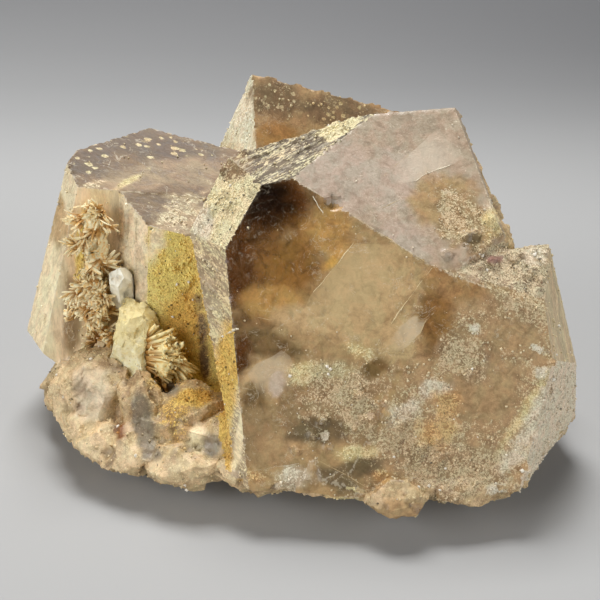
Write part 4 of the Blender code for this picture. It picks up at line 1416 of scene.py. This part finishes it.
class QUARTZ_OT_grains(bpy.types.Operator):
    """Scatters cream, ochre and dark grains over the crusted parts of the body"""

    bl_idname = "quartz.grains"
    bl_label = "Crust grains"

    def execute(self, context):
        settings = context.scene.quartz_grains
        count = settings.count
        body = bpy.data.objects["quartz_body"].data
        dice = np.random.default_rng(GRAIN_SEED)
        places, outward, near = scatter(body, self.weights(body), count, dice)
        sizes = settings.smallest + (settings.largest - settings.smallest) * dice.random(count) ** 3
        tone = stored(body, "crust_tone")[near] * dice.uniform(*GRAIN_TONES, (count, 1))
        tone[dice.random(count) < stored(body, "grit")[near] * DARK_GRAINS] *= DARK_SHADE
        white = dice.random(count) < WHITE_GRAINS
        tone[white] = linear(GRAIN_WHITE)
        sizes[white] *= WHITE_SIZE
        shape = GRAIN_CORNERS[None] * dice.uniform(*GRAIN_SHAPES, (count, len(GRAIN_CORNERS), 1))
        shape = shape @ random_turns(count, dice)
        middle = places + outward * sizes[:, None] * GRAIN_RISE
        verts = keep_in_box(middle[:, None] + shape * sizes[:, None, None]).reshape(-1, 3)
        faces = GRAIN_SIDES[None] + (np.arange(count) * len(GRAIN_CORNERS))[:, None, None]
        tone = np.repeat(tone, len(GRAIN_CORNERS), axis=0)
        fields = (("tone", tone), ("flow", verts / MM))
        mesh = joined("crust_grains", verts, faces.reshape(-1, 3), fields)
        grains = new_piece("crust_grains", mesh, grain_material("crust_grains"))
        return {"FINISHED"}

    def weights(self, body):
        """How densely the grains lie at each corner: along winding lines of the crust."""
        lines = 1 - ramp(np.abs(noise(points_of(body) / MM, 2.6, 21, 2)), 0.08, 0.4)
        return stored(body, "crust") ** 2 * (lines[numbers(body.loops, "vertex_index")] + 0.15) + 0.001


# Step of each crystal's fine surface and depth of its chips, m.
GREEN_SKIN = (0.3 * MM, 0.7 * MM)
WHITE_SKIN = (0.25 * MM, 0.3 * MM)


class QUARTZ_OT_minerals(bpy.types.Operator):
    """Dresses the pale green crystal and the small white crystal"""

    bl_idname = "quartz.minerals"
    bl_label = "Green and white crystals"

    def execute(self, context):
        settings = context.scene.quartz_minerals
        green = self.dressed("green_block", "pale_green_crystal", green_material(settings), *GREEN_SKIN)
        white = self.dressed("white_point", "white_crystal", white_material(settings), *WHITE_SKIN)
        return {"FINISHED"}

    def dressed(self, name, node, material, step, relief):
        """A finely chipped copy of a crystal that stands for its node."""
        fine = FineCopy(node, step)
        points = points_of(fine.mesh)
        chips = fractured(points / MM, 1.7, 33)
        height = noise(points / MM, 2.6, 31, 4) * 0.4 + chips * 0.5 - 0.25
        set_points(fine.mesh, keep_in_box(points + normals_of(fine.mesh) * (height * relief)[:, None]))
        fine.shade()
        store(fine.mesh, "flow", points / MM)
        # painted shade: how deep each point lies in the chips, for the material to darken
        store(fine.mesh, "hollow", ramp(-height, 0.25, 0.8))
        part = (points[:, 2] - points[:, 2].min()) / np.ptp(points[:, 2])
        store(fine.mesh, "high", ramp(part + noise(points / MM, 2.0, 35, 2) * 0.25, 0.35, 0.9))
        piece = new_piece(name, fine.mesh, material)
        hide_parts(node)
        return piece


def rough_core(node, voxel, relief):
    """Corners in mm and faces of a node's form, roughened, for what grows on it to stand on."""
    fine = FineCopy(node, voxel)
    points = points_of(fine.mesh) / MM
    height = fractured(points, 1.5, 71) * 0.6 + noise(points, 2.0, 72, 3) * 0.4 - 0.5
    points = points + normals_of(fine.mesh) * (height * relief)[:, None]
    faces = numbers(fine.mesh.loops, "vertex_index").reshape(-1, 4)
    bpy.data.meshes.remove(fine.mesh)
    return points, faces


def unit(vectors):
    """Vectors of the same directions and of length 1."""
    return vectors / np.linalg.norm(vectors, axis=1, keepdims=True)


class Blades:
    """Many thin blades, each a bowed four-sided bar from its foot to a blunt tip, in mm."""

    RINGS = 7        # rings of four corners along a blade
    CORNERS = ((1, 1), (-1, 1), (-1, -1), (1, -1))
    SLIMMING = 0.3   # share of its width that it loses on the way
    TIP = 0.55       # size of its last ring

    def __init__(self, feet, tips, sides, widths, thicks, bow, stain):
        self.count = len(feet)
        run = tips - feet
        way = unit(run)
        side = unit(sides - way * np.sum(sides * way, axis=1, keepdims=True))
        flat = np.cross(way, side)
        length = np.linalg.norm(run, axis=1, keepdims=True)
        verts = []
        for ring in range(self.RINGS):
            part = ring / (self.RINGS - 1)
            size = 1 - self.SLIMMING * part ** 2 if ring < self.RINGS - 1 else self.TIP
            centre = feet + run * part + flat * bow[:, None] * length * part * part
            wide, high = side * (widths * size)[:, None], flat * (thicks * size)[:, None]
            verts += [centre + wide * across + high * over for across, over in self.CORNERS]
        self.verts = np.stack(verts, axis=1).reshape(-1, 3)
        self.faces = self.bars()
        self.add_fields(stain)

    def bars(self):
        """The faces of all blades."""
        bar = []
        for low in range(0, (self.RINGS - 1) * 4, 4):
            for corner in range(4):
                other = (corner + 1) % 4
                bar.append((low + corner, low + other, low + 4 + other, low + 4 + corner))
        top = (self.RINGS - 1) * 4
        bar += [(3, 2, 1, 0), (top, top + 1, top + 2, top + 3)]
        first = np.arange(self.count) * self.RINGS * 4
        return (np.array(bar)[None] + first[:, None, None]).reshape(-1, 4)

    def add_fields(self, stain):
        """How near each corner is to the blade's foot, and where it lies in the fibre pattern."""
        foot = np.tile(np.repeat(1 - np.arange(self.RINGS) / (self.RINGS - 1), 4), self.count)
        self.foot = foot + np.repeat(stain, self.RINGS * 4)
        number = np.repeat(np.arange(self.count), self.RINGS * 4)
        corner = np.tile(np.arange(4.0), self.RINGS * self.count)
        self.flow = np.stack([foot * 2.0, corner * 1.1 + number * 7.3, number * 0.37], axis=1)


# Groups of the sheaf: foot in the layout and half spread in mm, heading and how much it fans in
# degrees, length in mm, share of the blades.
SHEAF = {
    "main fan": ((-35.2, -3.6, 22.8), 3.2, 2.0, 24.0, 8.6, 0.62),
    "upper blades": ((-36.0, -2.0, 26.2), 1.4, 48.0, 26.0, 5.4, 0.16),
    "lower blades": ((-29.2, -3.2, 20.6), 1.2, -36.0, 16.0, 6.4, 0.22),
}
SHEAF_DEPTH = 1.3        # half depth of the groups, mm
SHEAF_STRAY = 3.5        # degrees by which a blade strays from the fan
SHEAF_LEAN = (-0.12, 0.34)     # how far blades lean away from the crystals, as shares of their run
SHEAF_LENGTHS = (0.72, 1.05)   # shares of the group's length
SHEAF_ARCH = 0.22        # how much shorter its outer blades are
TUFT_LENGTHS = (2.4, 5.2)      # mm, for each bunch
TUFT_SHARES = (0.7, 1.0)       # of that, for each blade
TUFT_FAN = 0.8           # half angle of a bunch, radians
TUFT_SINK = 0.6          # how far its blades start below the core's surface, mm
SHEAF_LIGHT = (255, 232, 168)
SHEAF_DARK = (238, 184, 94)
TUFT_LIGHT = (255, 234, 184)
TUFT_DARK = (238, 184, 108)
CORE_STEP = 0.5 * MM     # step of the fine surface that the blades stand on, m
CORE_RELIEF = 0.9        # mm


def grown(shoots, dice, widths, thicks, bend, stained):
    """Blades from groups of feet, tips and sides. Half widths and half thicknesses are in mm."""
    feet, tips, sides = (np.concatenate(part) for part in zip(*shoots))
    count = len(feet)
    widths, thicks = dice.uniform(*widths, count), dice.uniform(*thicks, count)
    bow, stain = dice.normal(0, bend, count), dice.uniform(0, stained, count)
    return Blades(feet, tips, sides, widths, thicks, bow, stain)


class QUARTZ_OT_blades(bpy.types.Operator):
    """Builds the sheaf and the tufts of cream blades"""

    bl_idname = "quartz.blades"
    bl_label = "Cream blades"

    def execute(self, context):
        settings = context.scene.quartz_blades
        self.sheaf(settings)
        self.tufts(settings)
        return {"FINISHED"}

    def sheaf(self, settings):
        """Nearly parallel blades that fan out to the right of the green crystal, in three groups."""
        dice = np.random.default_rng(51)
        out = np.array(facing(-6, 20))
        right = np.array(Vector((0, 0, 1)).cross(Vector(out)).normalized())
        high = np.cross(out, right)
        shoots = []
        for middle, spread, heading, fan, length, share in SHEAF.values():
            count = round(settings.sheaf * share)
            place = dice.uniform(-1, 1, count)
            layer = dice.uniform(-1, 1, count)
            turn = np.radians(heading + fan * place + dice.normal(0, SHEAF_STRAY, count))
            way = np.cos(turn)[:, None] * right + np.sin(turn)[:, None] * high
            way += (dice.uniform(*SHEAF_LEAN, count) + layer * 0.1)[:, None] * out
            tilt = math.radians(heading)
            across = -math.sin(tilt) * right + math.cos(tilt) * high
            feet = np.array(placed(middle)) + (place * spread)[:, None] * across
            feet += (layer * SHEAF_DEPTH)[:, None] * out
            size = length * (1 - SHEAF_ARCH * np.abs(place)) * dice.uniform(*SHEAF_LENGTHS, count)
            sides = np.tile(across, (count, 1)) + dice.normal(0, 0.5, (count, 3))
            shoots.append((feet, feet + unit(way) * size[:, None], sides))
        blades = grown(shoots, dice, (0.26, 0.46), (0.16, 0.26), 0.05, 0.3)
        self.make("cream_sheaf", "cream_blade_spray", blades, SHEAF_LIGHT, SHEAF_DARK)

    def tufts(self, settings):
        """Bunches of short curved plates that stand all over the core on the left crystal's front."""
        dice = np.random.default_rng(52)
        count = settings.bunch
        core = welded("cream_blade_tufts")
        seen = np.clip(normals_of(core) @ np.array(-FORWARD), 0.05, 1)
        weights = seen[numbers(core.loops, "vertex_index")]
        places, outward, _ = scatter(core, weights, settings.bunches, dice)
        bpy.data.meshes.remove(core)
        shoots = []
        for middle, normal in zip(places / MM, outward):
            out = normal * 0.6 + np.array(facing(-10, 25)) * 0.5
            heading = dice.uniform(0, 2 * math.pi)
            first = unit(np.cross(out, np.array((math.cos(heading), 0.3, math.sin(heading))))[None])[0]
            second = unit(np.cross(out, first)[None])[0]
            fan = np.linspace(-TUFT_FAN, TUFT_FAN, count) + dice.normal(0, 0.12, count)
            way = np.cos(fan)[:, None] * first + np.sin(fan)[:, None] * second
            way += out * dice.uniform(0.05, 0.6, (count, 1))
            feet = middle + dice.normal(0, 0.4, (count, 3)) - out * TUFT_SINK
            run = unit(way) * dice.uniform(*TUFT_LENGTHS) * dice.uniform(*TUFT_SHARES, (count, 1))
            sides = np.tile(second, (count, 1)) + dice.normal(0, 0.25, (count, 3))
            shoots.append((feet, feet + run, sides))
        blades = grown(shoots, dice, (0.18, 0.5), (0.08, 0.14), 0.3, 0.5)
        self.make("cream_tufts", "cream_blade_tufts", blades, TUFT_LIGHT, TUFT_DARK)

    def make(self, name, node, blades, light, dark):
        """One piece of the blades and the rough core that they stand on."""
        points, sides = rough_core(node, CORE_STEP, CORE_RELIEF)
        seat = surface_of(bpy.data.objects["quartz_body"].data)
        gap = np.array([seat.find_nearest(point)[3] for point in points * MM]) / MM
        verts = np.concatenate([points, blades.verts])
        faces = np.concatenate([sides, blades.faces + len(points)])
        foot = np.concatenate([1 - ramp(gap, 0.4, 3.0) * 0.7, blades.foot])
        flow = np.concatenate([points, blades.flow])
        mesh = joined(name, keep_in_box(verts * MM), faces, (("foot", foot), ("flow", flow)))
        piece = new_piece(name, mesh, blade_material(name, light, dark))
        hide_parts(node)


# The floor, m: half width, front edge, where it starts to rise, radius of its bend, top.
FLOOR_HALF = 1.8
FLOOR_FRONT = -1.6
FLOOR_BEND = 0.24
FLOOR_RADIUS = 0.25
FLOOR_TOP = 1.6
BEND_STEPS = 12
# Painted shade on the floor: it darkens as it rises into the backdrop, and sooner on the right.
FLOOR_SLANT = 0.2          # how much nearer its darker part comes on the right
FLOOR_DARKENS = (0.12, 0.38)

# Lamps: place and side of the square, m. Each one's power is a setting of the same name.
LAMPS = {
    "overhead": ((-0.05, 0.27, 0.72), 0.36),
    "left": ((-0.6, -0.42, 0.28), 0.5),
    "right": ((0.6, -0.46, 0.26), 0.5),
}
LAMP_AIM = Vector((0.0, 0.0, 0.03))
ROOM_COLOUR = (0.86, 0.87, 0.9, 1.0)


class QUARTZ_OT_stage(bpy.types.Operator):
    """Sets the floor, the soft light and the camera"""

    bl_idname = "quartz.stage"
    bl_label = "Stage, light and camera"

    def execute(self, context):
        settings = context.scene.quartz_stage
        self.floor(settings)
        for name, (place, side) in LAMPS.items():
            lamp = bpy.data.lights.new(name, "AREA")
            lamp.size = side
            lamp.energy = getattr(settings, name)
            self.hold(lamp, Vector(place), LAMP_AIM - Vector(place))
        camera = bpy.data.cameras.new("view")
        camera.lens = LENS
        camera.sensor_width = SENSOR
        context.scene.camera = self.hold(camera, EYE, FORWARD)
        context.scene.view_settings.view_transform = "Standard"
        self.room(context, settings)
        return {"FINISHED"}

    def hold(self, thing, place, way):
        """Puts a lamp or a camera at a place, looking along a direction."""
        holder = bpy.data.objects.new(thing.name, thing)
        holder.matrix_world = Matrix.Translation(place) @ way.to_track_quat("-Z", "Y").to_matrix().to_4x4()
        bpy.context.scene.collection.objects.link(holder)
        return holder

    def room(self, context, settings):
        """A faint even light from all round."""
        world = bpy.data.worlds.new("room")
        world.use_nodes = True
        sockets = world.node_tree.nodes["Background"].inputs
        sockets["Color"].default_value = ROOM_COLOUR
        sockets["Strength"].default_value = settings.fill
        context.scene.world = world

    def floor(self, settings):
        """A floor that curves up into a backdrop behind the cluster, with painted shade that darkens it as
        it rises.
        """
        profile = [(FLOOR_FRONT, 0.0), (FLOOR_BEND, 0.0)]
        for step in range(1, BEND_STEPS + 1):
            turn = math.pi / 2 * step / BEND_STEPS
            far = FLOOR_BEND + FLOOR_RADIUS * math.sin(turn)
            profile.append((far, FLOOR_RADIUS * (1 - math.cos(turn))))
        profile.append((FLOOR_BEND + FLOOR_RADIUS, FLOOR_TOP))
        verts = [(side, y, z) for y, z in profile for side in (-FLOOR_HALF, FLOOR_HALF)]
        faces = [(2 * n, 2 * n + 1, 2 * n + 3, 2 * n + 2) for n in range(len(profile) - 1)]
        mesh = bpy.data.meshes.new("floor")
        mesh.from_pydata(verts, [], faces)
        mesh.shade_smooth()
        tree = Tree("floor")
        place = tree.node("ShaderNodeTexCoord", output=3)
        across, back = (
            tree.node("ShaderNodeVectorMath", {"operation": "DOT_PRODUCT"}, {0: place, 1: axis}, 1)
            for axis in ((1, 0, 0), (0, 1, 0))
        )
        # painted shade, darker up the backdrop and towards the right
        rise = (back + across * FLOOR_SLANT).ramp(*FLOOR_DARKENS)
        tone = tree.mix(rise, settings.floor[:], settings.backdrop[:])
        mesh.materials.append(tree.finish(tree.surface(Base_Color=tone, Roughness=0.7)))
        floor = bpy.data.objects.new("floor", mesh)
        bpy.context.scene.collection.objects.link(floor)


class QUARTZ_PT_panel(bpy.types.Panel):
    """Lists the cluster's pieces and their settings"""

    bl_idname = "QUARTZ_PT_panel"
    bl_label = "Smoky quartz cluster"
    bl_space_type = "VIEW_3D"
    bl_region_type = "UI"
    bl_category = "Quartz"

    def draw(self, context):
        for operator, group in STEPS:
            box = self.layout.box()
            box.operator(operator.bl_idname)
            settings = getattr(context.scene, group)
            for name in settings.__annotations__:
                box.prop(settings, name)


STEPS = (
    (QUARTZ_OT_body, "quartz_body"),
    (QUARTZ_OT_grains, "quartz_grains"),
    (QUARTZ_OT_minerals, "quartz_minerals"),
    (QUARTZ_OT_blades, "quartz_blades"),
    (QUARTZ_OT_stage, "quartz_stage"),
)
GROUPS = {
    "quartz_body": QUARTZ_PG_body,
    "quartz_grains": QUARTZ_PG_grains,
    "quartz_minerals": QUARTZ_PG_minerals,
    "quartz_blades": QUARTZ_PG_blades,
    "quartz_stage": QUARTZ_PG_stage,
}


def register():
    for group in GROUPS.values():
        bpy.utils.register_class(group)
    for name, group in GROUPS.items():
        setattr(bpy.types.Scene, name, bpy.props.PointerProperty(type=group))
    for operator, _ in STEPS:
        bpy.utils.register_class(operator)
    bpy.utils.register_class(QUARTZ_PT_panel)


def unregister():
    bpy.utils.unregister_class(QUARTZ_PT_panel)
    for operator, _ in STEPS:
        bpy.utils.unregister_class(operator)
    for name in GROUPS:
        delattr(bpy.types.Scene, name)
    for group in GROUPS.values():
        bpy.utils.unregister_class(group)


def main():
    register()
    for operator, _ in STEPS:
        group, name = operator.bl_idname.split(".")
        getattr(getattr(bpy.ops, group), name)()


if __name__ == "__main__":
    main()
